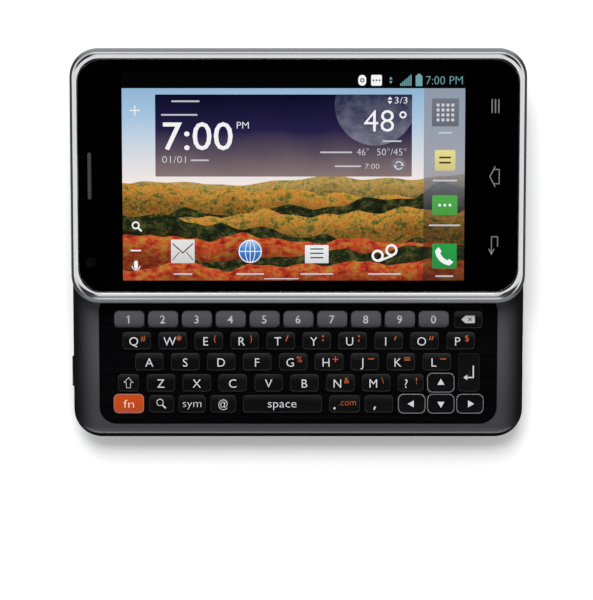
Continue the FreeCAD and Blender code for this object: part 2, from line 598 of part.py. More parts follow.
def slide_slots(low, high, rail_width):
    """Slots for both rails and both studs."""
    slots = []
    for side in (-1, 1):
        slots.append(slab_slot(side * RAIL_X, rail_width, RAIL_FRONT, RAIL_BACK, low, high))
        slots.append(slab_slot(side * STUD_X, 2 * STUD_RADIUS, STUD_Y - STUD_RADIUS, STUD_Y + STUD_RADIUS,
                               low, high))
    return slots


def flex_window(low, high):
    """Window behind which the display flex lies."""
    half = FLEX_WIDTH / 2 + FLEX_ROOM
    return block(-half, half, FLEX_Y - FLEX_DIP, flex_end() + FLEX_ROOM, low, high)


def flex_end():
    """Where the flex is plugged in at the back of the display half."""
    return TRAVEL + SLAB_WIDTH / 2 - CARRIAGE_MARGIN - FLEX_BEHIND


def display_screw_places():
    """Screws that hold the upper plate to the display housing."""
    y0 = TRAVEL - SLAB_WIDTH / 2 + CARRIAGE_MARGIN + SCREW_EDGE
    y1 = TRAVEL + SLAB_WIDTH / 2 - CARRIAGE_MARGIN - SCREW_EDGE
    x = (RAIL_X + PIN_X) / 2
    return [(side * x, y) for side in (-1, 1) for y in (y0, TRAVEL, y1)]


def build_slide_carriage():
    """Steel plate of the display half, with slots for rails and studs and two spring pins."""
    width = SLAB_WIDTH - 2 * CARRIAGE_MARGIN - 2 * FIT
    body = plate(PLATE_LENGTH - 2 * FIT, width, PLATE_CORNER, SLAB_BOTTOM, CARRIAGE_TOP, 0, TRAVEL)
    pins = [post(side * PIN_X, TRAVEL, CARRIAGE_TOP, HEAD_TOP, PIN_RADIUS) for side in (-1, 1)]
    tools = slide_slots(SLAB_BOTTOM - 1, CARRIAGE_TOP + 1, NECK_WIDTH)
    tools.append(flex_window(SLAB_BOTTOM - 1, CARRIAGE_TOP + 1))
    for x, y in display_screw_places():
        tools.append(post(x, y, SLAB_BOTTOM - 1, CARRIAGE_TOP, SCREW_HEAD))
    save("slide_carriage", joined(cut(body, *tools), *pins))


def build_display_screws():
    """Flat-headed screws, flush with the upper plate."""
    screws = [joined(post(x, y, SLAB_BOTTOM, CARRIAGE_TOP, SCREW_HEAD),
                     post(x, y, CARRIAGE_TOP, CHANNEL_TOP, SCREW_SHANK))
              for x, y in display_screw_places()]
    save("display_screws", *screws)


def tube_along(edges, radius):
    """Round wire along connected edges that start along the first edge."""
    path = Part.Wire(edges)
    first = path.OrderedEdges[0]
    start = first.valueAt(first.FirstParameter)
    ring = Part.Wire([Part.Circle(start, first.tangentAt(first.FirstParameter), radius).toShape()])
    return path.makePipeShell([ring], True, False)


def build_slide_springs():
    """Torsion wire springs that flip the slide open or shut."""
    z = (CARRIAGE_TOP + CHANNEL_TOP) / 2
    springs = []
    for side in (-1, 1):
        pin = Vector(side * PIN_X, TRAVEL, z)
        stud = Vector(side * STUD_X, STUD_Y, z)
        springs.append(spring_between(pin, stud, side))
    save("slide_springs", *springs)


def spring_between(pin, stud, side):
    """One spring: an eye round each pin, joined by a bowed wire."""
    across = (stud - pin).normalize()
    bow = Vector(-across.y, across.x, 0) * side
    eye = PIN_RADIUS + RUN + SPRING_WIRE
    ends = [pin + bow * eye, stud + bow * eye]
    crest = (ends[0] + ends[1]) * 0.5 + bow * SPRING_BOW
    wire = Part.Arc(ends[0], crest, ends[1]).toShape()
    body = tube_along([wire], SPRING_WIRE)
    rings = [Part.makeTorus(eye, SPRING_WIRE, centre) for centre in (pin, stud)]
    return joined(body, *rings)


def build_display_flex():
    """Flat cable from the display to the keyboard half, dipping through both plates."""
    half = FLEX_WIDTH / 2
    top = CARRIAGE_TOP
    run = block(-half, half, FLEX_Y, flex_end(), top - FLEX_THICK, top)
    low = FLOOR_TOP + FLEX_LIFT
    drop = block(-half, half, FLEX_Y - FLEX_THICK, FLEX_Y, low, top)
    tail = block(-half, half, FLEX_Y - FLEX_TAIL, FLEX_Y, low - FLEX_THICK, low)
    plug = block(-half, half, FLEX_Y - FLEX_TAIL, FLEX_Y - FLEX_TAIL + FLEX_PLUG, FLOOR_TOP, low - FLEX_THICK)
    save("display_flex", joined(run, drop, tail, plug))


# ------------------------------------------------------------------- display half
def slab_plate(inset_x, inset_y, corner, low, high):
    """Rounded plate inside the outline of the display half."""
    return plate(SLAB_LENGTH - 2 * inset_x, SLAB_WIDTH - 2 * inset_y, corner, low, high, 0, TRAVEL)


def build_display_housing():
    """Housing of the display half: seats for the bezel, the glass and the display."""
    body = slab_plate(0, 0, SLAB_CORNER, SLAB_BOTTOM, SLAB_TOP - BAND_DROP)
    body = rounded_edges(body, SLAB_BOTTOM, SLAB_ROUND)
    body = rounded_edges(body, SLAB_TOP - BAND_DROP, SLAB_ROUND)
    above = SLAB_TOP + 1
    plate_width = SLAB_WIDTH - 2 * CARRIAGE_MARGIN
    seat = cut(slab_plate(BAND, BAND, SLAB_CORNER - BAND, BEZEL_BOTTOM, above),
               slab_plate(RIM_END, RIM_SIDE, GLASS_CORNER, BEZEL_BOTTOM - 1, GLASS_BOTTOM))
    tools = [
        seat,
        slab_plate(RIM_END, RIM_SIDE, GLASS_CORNER, GLASS_BOTTOM, above),
        plate(DISPLAY_LENGTH + 2 * FIT, DISPLAY_WIDTH + 2 * FIT, DISPLAY_CORNER, DISPLAY_BOTTOM, above,
              DISPLAY_X, TRAVEL),
        plate(EARPIECE_WIDTH + 2 * FIT, EARPIECE_LENGTH + 2 * FIT, EARPIECE_CORNER,
              GLASS_BOTTOM - EARPIECE_THICK, above, EARPIECE_X, TRAVEL),
        plate(FRONT_CAMERA_SIDE + 2 * FIT, FRONT_CAMERA_SIDE + 2 * FIT, FRONT_CAMERA_CORNER,
              GLASS_BOTTOM - FRONT_CAMERA_THICK, above, EARPIECE_X, FRONT_CAMERA_Y),
        plate(PLATE_LENGTH, plate_width, PLATE_CORNER, SLAB_BOTTOM - 1, CARRIAGE_TOP, 0, TRAVEL),
    ]
    tools += slide_slots(CARRIAGE_TOP - FIT, CHANNEL_TOP, HEAD_WIDTH)
    for side in (-1, 1):
        near, far = sorted((side * STUD_X, side * PIN_X))
        tools.append(block(near - SPRING_ROOM, far + SPRING_ROOM, STUD_Y - SPRING_ROOM,
                           STUD_Y + TRAVEL + SPRING_ROOM, CARRIAGE_TOP - FIT, CHANNEL_TOP))
    tools += [post(x, y, CARRIAGE_TOP - FIT, CHANNEL_TOP, SCREW_SHANK) for x, y in display_screw_places()]
    save("display_housing", cut(body, *tools))


def build_chrome_bezel():
    """Bright ring between the glass and the housing."""
    ring = slab_plate(BAND + FIT, BAND + FIT, SLAB_CORNER - BAND - FIT, BEZEL_BOTTOM, BEZEL_TOP)
    ring = rounded_edges(ring, BEZEL_TOP, BEZEL_ROUND)
    hole = slab_plate(RIM_END - FIT, RIM_SIDE - FIT, GLASS_CORNER + FIT, BEZEL_BOTTOM - 1, BEZEL_TOP + 1)
    save("chrome_bezel", cut(ring, hole))


def build_front_glass():
    """Cover glass over the whole front, with the earpiece slot."""
    pane = slab_plate(RIM_END + FIT, RIM_SIDE + FIT, GLASS_CORNER - FIT, GLASS_BOTTOM, SLAB_TOP)
    pane = rounded_edges(pane, SLAB_TOP, GLASS_ROUND)
    slot = plate(EARPIECE_SLOT_WIDTH, EARPIECE_SLOT, EARPIECE_SLOT_WIDTH / 2, GLASS_BOTTOM - 1,
                 SLAB_TOP + 1, EARPIECE_X, TRAVEL)
    save("front_glass", cut(pane, slot))


def build_display_parts():
    """Display panel, earpiece and front camera under the glass."""
    save("display_panel", plate(DISPLAY_LENGTH, DISPLAY_WIDTH, DISPLAY_CORNER, DISPLAY_BOTTOM, GLASS_BOTTOM,
                                DISPLAY_X, TRAVEL))
    save("earpiece", plate(EARPIECE_WIDTH, EARPIECE_LENGTH, EARPIECE_CORNER, GLASS_BOTTOM - EARPIECE_THICK,
                           GLASS_BOTTOM, EARPIECE_X, TRAVEL))
    block_top = GLASS_BOTTOM - FRONT_CAMERA_EYE
    module = plate(FRONT_CAMERA_SIDE, FRONT_CAMERA_SIDE, FRONT_CAMERA_CORNER,
                   GLASS_BOTTOM - FRONT_CAMERA_THICK, block_top, EARPIECE_X, FRONT_CAMERA_Y)
    eye = post(EARPIECE_X, FRONT_CAMERA_Y, block_top, GLASS_BOTTOM, CAMERA_EYE_RADIUS)
    save("front_camera", joined(module, eye))


build_keys()
build_keypad()
build_side_keys()
build_rear_frame()
build_battery_cover()
build_battery()
build_main_board()
build_rear_camera()
build_loudspeaker()
build_sockets()
build_chassis_screws()
build_slide_base()
build_slide_carriage()
build_display_screws()
build_slide_springs()
build_display_flex()
build_display_housing()
build_chrome_bezel()
build_front_glass()
build_display_parts()
print("overall", round(BASE_LENGTH, 3), round(BASE_WIDTH, 3), "closed height", round(SLAB_TOP, 3))
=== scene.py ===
"""Dress of the keyboard slider phone: bezel, glass, lit screen, keys with their legends, and the studio.

Lengths in the classes are millimetres in the model's own frame: +Z out of the screen, +X along the long
side, +Y the way the display half opens.  Meshes are made in metres, with their place in the mesh.
"""
import logging
import math
from dataclasses import dataclass, replace
from enum import Enum
from typing import Callable, Iterable, Optional, Sequence, Union

import bmesh
import bpy
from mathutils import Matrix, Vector


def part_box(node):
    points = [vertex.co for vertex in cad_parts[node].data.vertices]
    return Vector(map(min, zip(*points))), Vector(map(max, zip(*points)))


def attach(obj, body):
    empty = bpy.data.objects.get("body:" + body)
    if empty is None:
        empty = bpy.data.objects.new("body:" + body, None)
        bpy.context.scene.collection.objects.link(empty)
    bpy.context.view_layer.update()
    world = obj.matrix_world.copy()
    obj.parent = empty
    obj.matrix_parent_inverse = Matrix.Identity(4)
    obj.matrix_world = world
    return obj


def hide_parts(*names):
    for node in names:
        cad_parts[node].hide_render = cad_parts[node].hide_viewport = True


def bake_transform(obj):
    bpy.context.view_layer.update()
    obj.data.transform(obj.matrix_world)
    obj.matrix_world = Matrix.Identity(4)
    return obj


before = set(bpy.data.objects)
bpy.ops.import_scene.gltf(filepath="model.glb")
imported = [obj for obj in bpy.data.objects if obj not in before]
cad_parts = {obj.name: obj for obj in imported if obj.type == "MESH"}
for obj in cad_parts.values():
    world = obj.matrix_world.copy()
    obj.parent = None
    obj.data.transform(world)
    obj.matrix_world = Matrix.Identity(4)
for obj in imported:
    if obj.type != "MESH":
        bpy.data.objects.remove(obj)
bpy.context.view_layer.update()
LOG = logging.getLogger("phone")
MM = 0.001

Point = tuple[float, float]
Point3 = tuple[float, float, float]
Colour = tuple[float, float, float]
Stops = tuple[tuple[float, Colour], ...]
HeightRule = Callable[[float, float], float]

BLACK: Colour = (0.0, 0.0, 0.0)
WHITE: Colour = (1.0, 1.0, 1.0)
WINDOW = (-44.5, 42.07, 8.3, 60.93)     # the lit screen: left, right, bottom, top


def srgb(red: int, green: int, blue: int) -> Colour:
    """Linear colour of an 8-bit display colour.

    Args:
        red: 0 to 255.
        green: 0 to 255.
        blue: 0 to 255.

    Returns:
        The three linear channels.
    """
    def linear(channel: int) -> float:
        """Linear value of one channel."""
        part = channel / 255
        return part / 12.92 if part <= 0.04045 else ((part + 0.055) / 1.055) ** 2.4
    return linear(red), linear(green), linear(blue)


def with_alpha(colour: Colour) -> tuple[float, float, float, float]:
    """A colour with its fourth channel, at 1."""
    return *colour, 1.0


# ------------------------------------------------------------------------------- node trees
def operator(operation: str, mirrored: bool = False) -> Callable[["Value", "Operand"], "Value"]:
    """Method that joins a value and an operand in one Math node.

    Args:
        operation: What the node does.
        mirrored: True puts the operand first.

    Returns:
        The method.
    """
    def join(self: "Value", other: "Operand" = 0.0) -> "Value":
        """The node's value."""
        return self.tree.math(operation, *((other, self) if mirrored else (self, other)))
    return join


class Value:
    """An output socket with the operators of numbers."""

    def __init__(self, tree: "Tree", socket: bpy.types.NodeSocket) -> None:
        """Keep the tree that the socket belongs to."""
        self.tree = tree
        self.socket = socket

    __add__ = __radd__ = operator("ADD")
    __mul__ = __rmul__ = operator("MULTIPLY")
    __sub__, __rsub__ = operator("SUBTRACT"), operator("SUBTRACT", mirrored=True)
    __gt__, __lt__ = operator("GREATER_THAN"), operator("LESS_THAN")
    __abs__ = operator("ABSOLUTE")

    def smooth(self, low: float, high: float) -> "Value":
        """Rise from 0 at low to 1 at high with soft ends."""
        places = {"Value": self, "From Min": low, "From Max": high}
        return self.tree.value("ShaderNodeMapRange", {"interpolation_type": "SMOOTHSTEP"}, places)


Operand = Union[Value, float]


class Tree:
    """Node tree and the one method that makes its nodes."""

    def __init__(self, data: bpy.types.NodeTree) -> None:
        """Start from an empty tree."""
        self.data = data
        self.data.nodes.clear()

    def node(self, kind: str, settings: Optional[dict] = None, sockets: Optional[dict] = None) -> bpy.types.Node:
        """Make any node.

        Args:
            kind: The node's type.
            settings: Its own settings, set first; "stops" fills a colour ramp.
            sockets: Values or links of its inputs, by name or number.

        Returns:
            The node.
        """
        made = self.data.nodes.new(kind)
        for name, setting in (settings or {}).items():
            if name == "stops":
                self._fill_ramp(made.color_ramp, setting)
            else:
                setattr(made, name, setting)
        for name, given in (sockets or {}).items():
            if isinstance(given, Value):
                self.data.links.new(given.socket, made.inputs[name])
            else:
                made.inputs[name].default_value = given
        return made

    @staticmethod
    def _fill_ramp(ramp: bpy.types.ColorRamp, stops: Stops) -> None:
        """Give a colour ramp its stops.

        Args:
            ramp: The colour ramp.
            stops: Places along it and their colours.
        """
        while len(ramp.elements) < len(stops):
            ramp.elements.new(1.0)
        for element, (place, colour) in zip(ramp.elements, stops):
            element.position = place
            element.color = with_alpha(colour)

    def value(self, kind: str, settings: Optional[dict] = None, sockets: Optional[dict] = None,
              output: Union[int, str] = 0) -> Value:
        """Make any node and take one of its outputs."""
        return Value(self, self.node(kind, settings, sockets).outputs[output])

    def math(self, operation: str, first: Operand, second: Operand) -> Value:
        """Make a Math node."""
        return self.value("ShaderNodeMath", {"operation": operation}, {0: first, 1: second})


class Shader(Tree):
    """Node tree of one material, or of the world."""

    def __init__(self, owner: Union[bpy.types.Material, bpy.types.World]) -> None:
        """Take over the owner's tree."""
        owner.use_nodes = True
        super().__init__(owner.node_tree)

    def place(self) -> tuple[Value, Value, Value]:
        """Object coordinates x, y and z in millimetres.

        Returns:
            The three coordinates.
        """
        coordinates = self.value("ShaderNodeTexCoord", output="Object")
        split = self.node("ShaderNodeSeparateXYZ", sockets={0: coordinates})
        return tuple(Value(self, split.outputs[axis]) * (1 / MM) for axis in range(3))

    def vector(self, x: Operand, y: Operand, z: Operand = 0.0) -> Value:
        """Join three numbers into a vector."""
        return self.value("ShaderNodeCombineXYZ", sockets={0: x, 1: y, 2: z})

    def noise(self, vector: Value, scale: float = 1.0, detail: float = 2.0, roughness: float = 0.5) -> Value:
        """Noise between 0 and 1 at a place.

        Args:
            vector: Where it is read.
            scale: Cycles for each unit.
            detail: Octaves.
            roughness: Strength of the finer octaves.

        Returns:
            The noise.
        """
        places = {"Vector": vector, "Scale": scale, "Detail": detail, "Roughness": roughness}
        return self.value("ShaderNodeTexNoise", sockets=places)

    def mix(self, factor: Operand, first: Union[Value, Colour], second: Union[Value, Colour]) -> Value:
        """Mix two colours.

        Args:
            factor: 0 gives the first, 1 the second.
            first: Colour or link.
            second: Colour or link.

        Returns:
            The mixed colour.
        """
        sides = [side if isinstance(side, Value) else with_alpha(side) for side in (first, second)]
        places = {"Factor": factor, 6: sides[0], 7: sides[1]}
        return self.value("ShaderNodeMix", {"data_type": "RGBA"}, places, output=2)

    def ramp(self, factor: Value, stops: Stops) -> Value:
        """Colours along a value."""
        return self.value("ShaderNodeValToRGB", {"stops": stops}, {0: factor})

    def bump(self, height: Value, distance: float) -> Value:
        """Normal of a relief.

        Args:
            height: 0 to 1.
            distance: Depth of the relief in millimetres.

        Returns:
            The normal.
        """
        return self.value("ShaderNodeBump", sockets={"Height": height, "Distance": distance * MM, "Strength": 1.0})

    def surface(self, painted_shade_band: Optional[Value] = None, **sockets: Union[Value, float, Sequence[float]]) -> None:
        """Close the tree with a Principled surface; socket names use _ for spaces.

        Args:
            painted_shade_band: Where a matt black band of painted shade takes the place of the surface and mirrors
                nothing.
            **sockets: Its inputs.
        """
        places = {name.replace("_", " "): given for name, given in sockets.items()}
        for name, given in places.items():
            if isinstance(given, tuple) and len(given) == 3:
                places[name] = with_alpha(given)
        shader = self.value("ShaderNodeBsdfPrincipled", sockets=places)
        # matt black band of painted shade, mixed in where its mask asks for it
        if painted_shade_band is not None:
            matt = self.value("ShaderNodeBsdfDiffuse", sockets={"Color": with_alpha(PAINTED_SHADE_BLACK)})
            shader = self.value("ShaderNodeMixShader", sockets={0: painted_shade_band, 1: shader, 2: matt})
        self.node("ShaderNodeOutputMaterial", sockets={"Surface": shader})

    def lit(self, colour: Union[Value, Colour], alpha: Operand = 1.0) -> None:
        """Close the tree with a surface that shines and mirrors nothing."""
        self.surface(Base_Color=BLACK, Emission_Color=colour, Emission_Strength=1.0, Specular_IOR_Level=0.0,
                     Alpha=alpha)

    def seen(self) -> Value:
        """1 for the rays that show a thing: from the camera, off gloss and through glass.

        Returns:
            1 for such a ray, 0 for any other.
        """
        rays = self.node("ShaderNodeLightPath")
        camera, gloss, through = (Value(self, rays.outputs[f"Is {kind} Ray"])
                                  for kind in ("Camera", "Glossy", "Transmission"))
        return camera + gloss + through


# --------------------------------------------------------------------------------- finishes
# colour of the matt black band of painted shade
PAINTED_SHADE_BLACK = srgb(12, 12, 13)
MATERIALS: dict[str, bpy.types.Material] = {}


@dataclass(frozen=True)
class Finish:
    """Base of every finish: a name and one material for it."""

    name: str

    def material(self) -> bpy.types.Material:
        """The finish's material, made once.

        Returns:
            The material.
        """
        if self.name not in MATERIALS:
            MATERIALS[self.name] = bpy.data.materials.new(self.name)
            self.dress(Shader(MATERIALS[self.name]))
        return MATERIALS[self.name]

    def dress(self, shader: Shader) -> None:
        """Fill the material's tree."""
        raise NotImplementedError


@dataclass(frozen=True)
class Moulded(Finish):
    """Moulded or painted plastic with a fine grain and faint handling marks."""

    colour: Colour
    roughness: float = 0.4
    grain: float = 6.0          # grains for each millimetre
    depth: float = 0.004
    gloss: float = 0.5
    mottle: float = 0.12

    def dress(self, shader: Shader) -> None:
        """Fill the material's tree.

        Args:
            shader: Tree of its material.
        """
        x, y, z = shader.place()
        place = shader.vector(x, y, z)
        grain = shader.noise(place, self.grain, 3.0)
        marks = shader.noise(place, 0.09, 4.0, 0.6)
        darker = tuple(channel * (1 - self.mottle) for channel in self.colour)
        lighter = tuple(channel * (1 + self.mottle) for channel in self.colour)
        shader.surface(Base_Color=shader.mix(marks * 0.6 + grain * 0.4, darker, lighter),
                       Roughness=(marks - 0.5) * 0.14 + (grain - 0.5) * 0.1 + self.roughness,
                       Specular_IOR_Level=self.gloss, Normal=shader.bump(grain, self.depth))


@dataclass(frozen=True)
class Printed(Moulded):
    """Printed sign without any relief."""

    roughness: float = 0.5
    grain: float = 10.0
    depth: float = 0.0
    gloss: float = 0.2
    mottle: float = 0.03


@dataclass(frozen=True)
class PaintedShadeCap(Finish):
    """Satin cap paint with a painted highlight at the back edge and painted shade towards the front edge."""

    low: float
    high: float
    stops: Stops

    def dress(self, shader: Shader) -> None:
        """Fill the material's tree.

        Args:
            shader: Tree of its material.
        """
        x, y, z = shader.place()
        grain = shader.noise(shader.vector(x, y, z), 10.0, 3.0)
        # painted shade and highlight from the front edge to the back edge
        rise = (y - self.low) * (1 / (self.high - self.low)) + (grain - 0.5) * 0.06
        shader.surface(Base_Color=shader.ramp(rise, self.stops), Roughness=0.5 + (grain - 0.5) * 0.1,
                       Specular_IOR_Level=0.12, Normal=shader.bump(grain, 0.0015))


@dataclass(frozen=True)
class Graphite(Finish):
    """Graphite paint with painted shade at the frame's outer edges and lower wall, and a painted highlight by its front
    lip.
    """

    # lit colour, then the near-black colour of the painted shade
    inner: Colour
    outer: Colour
    half_length: float
    half_width: float
    end_shade_span: Point = (0.2, 6.4)            # ways in from the ends over which painted shade gives way to the lit colour
    side_shade_span: Point = (0.85, 1.35)         # the same painted shade from the long sides
    rise: Point = (4.6, 6.3)                # heights over which the painted shade of the lower wall gives way
    front_highlight_span: Point = (2.9, 1.1)          # ways in from the front side over which a painted highlight grows towards the lip
    front_shade_span: Point = (5.5, 24.0)        # and over which painted shade along the front gives way to plain
    polish_fade: Point = (2.2, 3.2)         # the polished lip at the front ends here
    polish_rise: Point = (6.0, 6.5)
    painted_shade_foot: Point = (4.8, 5.3)           # the matt black band of painted shade on the edge begins here
    painted_shade_head: Point = (6.35, 6.6)          # and ends here

    def dress(self, shader: Shader) -> None:
        """Fill the material's tree.

        Args:
            shader: Tree of its material.
        """
        x, y, z = shader.place()
        from_front = y + self.half_width
        # painted shade towards the ends and the long sides
        ends = (self.half_length - abs(x)).smooth(*self.end_shade_span)
        sides = (self.half_width - abs(y)).smooth(*self.side_shade_span)
        grain = shader.noise(shader.vector(x, y, z), 9.0, 3.0)
        # painted shade of the lower wall, which is also rougher
        upper = z.smooth(*self.rise)
        polish = (1.0 - from_front.smooth(*self.polish_fade)) * z.smooth(*self.polish_rise) * ends
        # painted highlight towards the front lip, and painted shade along the front
        front = from_front.smooth(*self.front_highlight_span)
        painted_front_shade = 1.0 - from_front.smooth(*self.front_shade_span)
        shade = ends * sides * upper * (0.94 + grain * 0.12) * (1.0 - painted_front_shade * 0.28 + front * 0.5)
        # matt black band of painted shade on the steep part of the frame's rounded edge
        painted_shade_band = (1.0 - (z - front * 0.33).smooth(*self.painted_shade_head)) * z.smooth(*self.painted_shade_foot)
        shader.surface(painted_shade_band, Base_Color=shader.mix(shade, self.outer, self.inner),
                       Roughness=0.84 - upper * 0.5 + (grain - 0.5) * 0.1, Specular_IOR_Level=0.03,
                       Coat_Weight=polish, Coat_Roughness=0.2, Normal=shader.bump(grain, 0.003))


@dataclass(frozen=True)
class SatinEdge(Finish):
    """Satin paint of the display's housing, with painted shade that darkens it round its corners and ends."""

    # colour along the sides, and the colour of the painted shade at the ends
    side: Colour
    end: Colour
    half_length: float
    painted_shade_span: Point = (4.5, 1.2)        # ways in from the ends over which the painted shade darkens it

    def dress(self, shader: Shader) -> None:
        """Fill the material's tree.

        Args:
            shader: Tree of its material.
        """
        x, y, z = shader.place()
        grain = shader.noise(shader.vector(x, y, z), 9.0, 3.0)
        # painted shade towards the ends and corners
        ends = abs(x).smooth(*(self.half_length - way for way in self.painted_shade_span))
        shader.surface(Base_Color=shader.mix(ends + (grain - 0.5) * 0.06, self.side, self.end),
                       Roughness=0.3 + (grain - 0.5) * 0.1, Specular_IOR_Level=0.3,
                       Normal=shader.bump(grain, 0.002))


@dataclass(frozen=True)
class BrushedGloss(Finish):
    """Glossy black panel with fine brushed lines along the long side."""

    colour: Colour
    line: Colour

    def dress(self, shader: Shader) -> None:
        """Fill the material's tree.

        Args:
            shader: Tree of its material.
        """
        x, y, z = shader.place()
        fine = shader.noise(shader.vector(x * 0.05, y * 7.0, z), 1.0, 4.0, 0.7)
        broad = shader.noise(shader.vector(x * 0.02, y * 1.6, z), 1.0, 2.0)
        lines = fine * 0.7 + broad * 0.3
        shader.surface(Base_Color=shader.mix(lines.smooth(0.42, 0.68), self.colour, self.line),
                       Roughness=0.16 + (lines - 0.5) * 0.2, Specular_IOR_Level=0.4,
                       Normal=shader.bump(fine, 0.002))


@dataclass(frozen=True)
class Metal(Finish):
    """Metal with brushing or polishing marks along one axis."""

    colour: Colour
    roughness: float
    stretch: tuple[float, float, float] = (0.3, 6.0, 6.0)
    depth: float = 0.0

    def dress(self, shader: Shader) -> None:
        """Fill the material's tree.

        Args:
            shader: Tree of its material.
        """
        x, y, z = shader.place()
        along, across, up = self.stretch
        lines = shader.noise(shader.vector(x * along, y * across, z * up), 1.0, 3.0)
        shade = tuple(channel * 0.88 for channel in self.colour)
        sockets = {"Base_Color": shader.mix(lines, shade, self.colour), "Metallic": 1.0,
                   "Roughness": self.roughness + (lines - 0.5) * self.roughness * 0.6}
        if self.depth:
            sockets["Normal"] = shader.bump(lines, self.depth)
        shader.surface(**sockets)


@dataclass(frozen=True)
class ClearGlass(Finish):
    """Clear cover glass, with the faintest smears."""

    tint: Colour = WHITE

    def dress(self, shader: Shader) -> None:
        """Fill the material's tree.

        Args:
            shader: Tree of its material.
        """
        x, y, z = shader.place()
        smears = shader.noise(shader.vector(x * 0.06, y * 0.16, z), 1.0, 2.0, 0.5)
        shader.surface(Base_Color=self.tint, Transmission_Weight=1.0, IOR=1.45,
                       Roughness=smears.smooth(0.5, 1.0) * 0.004)


@dataclass(frozen=True)
class Lit(Finish):
    """One even colour of the lit screen."""

    colour: Colour
    alpha: float = 1.0

    def dress(self, shader: Shader) -> None:
        """Fill the material's tree."""
        shader.lit(self.colour, self.alpha)


@dataclass(frozen=True)
class Veil(Finish):
    """Veil over the lit picture: pale at its head, dark at its foot."""

    colour: Colour
    foot: Colour
    low: float
    high: float
    cover: float = 0.34             # how much it hides at its foot
    more: float = 0.22              # what is added at its head

    def dress(self, shader: Shader) -> None:
        """Fill the material's tree."""
        up = shader.place()[1].smooth(self.low, self.high)
        shader.lit(shader.mix(up, self.foot, self.colour), self.cover + up * self.more)


@dataclass(frozen=True)
class LitShade(Finish):
    """Lit colours that run over one another from a low to a high place."""

    low: float
    high: float
    stops: Stops
    blotch: float = 0.0             # strength of the soft blotches

    def dress(self, shader: Shader) -> None:
        """Fill the material's tree.

        Args:
            shader: Tree of its material.
        """
        x, y, _ = shader.place()
        place = shader.vector(x, y)
        drift = (shader.noise(place, 0.07, 2.0) - 0.5) * 0.25
        if self.blotch:
            drift = drift + (shader.noise(place, 0.22, 5.0, 0.65).smooth(0.35, 0.65) - 0.5) * self.blotch
        rise = (y - self.low) * (1 / (self.high - self.low))
        shader.lit(shader.ramp(rise + drift, self.stops))


@dataclass(frozen=True)
class Hill:
    """Rounded hill, covered with patches of heath, below one flowing crest line."""

    crest: float                    # height of the crest at the middle of the screen
    lean: float                     # how much it climbs towards the right
    swell: float                    # how far it rises and falls
    reach: float                    # width of one swell
    seed: float
    stops: Stops
    hollow: Colour = srgb(30, 24, 12)

    def lay(self, shader: Shader, x: Value, y: Value, grain: Value, behind: Value) -> Value:
        """Put the hill in front of what is behind it.

        Args:
            shader: Tree to build in.
            x: Along the screen.
            y: Up the screen.
            grain: Fine noise, 0 to 1.
            behind: Colour behind the hill.

        Returns:
            The colour with the hill in it.
        """
        line = shader.noise(shader.vector(x * (1 / self.reach) + self.seed, 0.5), 1.0, 1.0) - 0.5
        down = line * self.swell + x * self.lean + self.crest - y + (grain - 0.5) * 0.5
        patch = shader.noise(shader.vector(x * 0.7 + self.seed, down * 1.1), 0.5, 4.0, 0.7)
        hue = (patch - 0.5) * 2.6 + (grain - 0.5) * 0.9 + 0.5
        shade = down.smooth(0.0, 6.0) * 0.55 + (0.5 - grain) * 1.7 + 0.1
        return shader.mix(down > 0.0, behind, shader.mix(shade, shader.ramp(hue, self.stops), self.hollow))


FAR = ((0.15, srgb(126, 130, 74)), (0.4, srgb(178, 156, 84)), (0.62, srgb(208, 170, 94)), (0.85, srgb(190, 138, 72)))
GOLD = ((0.15, srgb(84, 102, 46)), (0.38, srgb(174, 140, 60)), (0.62, srgb(222, 160, 66)), (0.88, srgb(208, 112, 50)))
RED = ((0.15, srgb(196, 150, 62)), (0.4, srgb(214, 104, 50)), (0.65, srgb(200, 62, 40)), (0.88, srgb(140, 40, 32)))
DARK = ((0.15, srgb(14, 24, 16)), (0.5, srgb(38, 50, 28)), (0.88, srgb(98, 96, 46)))
HILLS = (
    Hill(33.8, 0.02, 9.0, 21.0, 3.0, FAR), Hill(30.6, -0.07, 9.0, 15.0, 17.0, GOLD),
    Hill(27.2, 0.1, 9.0, 13.0, 29.0, DARK), Hill(25.4, 0.04, 8.0, 12.0, 41.0, GOLD),
    Hill(20.6, -0.11, 8.0, 11.0, 53.0, DARK), Hill(18.8, -0.04, 8.0, 12.0, 67.0, RED),
    Hill(14.4, 0.07, 7.0, 10.0, 71.0, DARK), Hill(12.4, 0.02, 6.0, 10.0, 83.0, RED))
SKY = ((0.0, srgb(250, 238, 234)), (0.35, srgb(216, 223, 233)), (0.7, srgb(172, 204, 230)), (1.0, srgb(150, 187, 219)))


@dataclass(frozen=True)
class Landscape(Finish):
    """Plain made-up view: a pale sky over rolling hills."""

    skyline: float
    top: float

    def dress(self, shader: Shader) -> None:
        """Fill the material's tree.

        Args:
            shader: Tree of its material.
        """
        x, y, _ = shader.place()
        drift = shader.noise(shader.vector(x * 0.02, y * 0.05), 1.0, 3.0)
        height = (y - self.skyline) * (1 / (self.top - self.skyline)) + (drift - 0.5) * 0.25
        view = shader.ramp(height, SKY)
        grain = shader.noise(shader.vector(x, y), 1.3, 6.0, 0.85)
        for hill in HILLS:
            view = hill.lay(shader, x, y, grain, view)
        shader.lit(view)


@dataclass(frozen=True)
class Circuit(Finish):
    """Solder mask with tracks that show through it."""

    colour: Colour
    track: Colour

    def dress(self, shader: Shader) -> None:
        """Fill the material's tree.

        Args:
            shader: Tree of its material.
        """
        x, y, z = shader.place()
        mask = with_alpha(self.colour)
        places = {"Vector": shader.vector(x, y, z), "Scale": 0.9, "Brick Width": 1.1, "Row Height": 0.35,
                  "Mortar Size": 0.05, "Color1": mask, "Color2": mask, "Mortar": with_alpha(self.track)}
        shader.surface(Base_Color=shader.value("ShaderNodeTexBrick", sockets=places), Roughness=0.35)


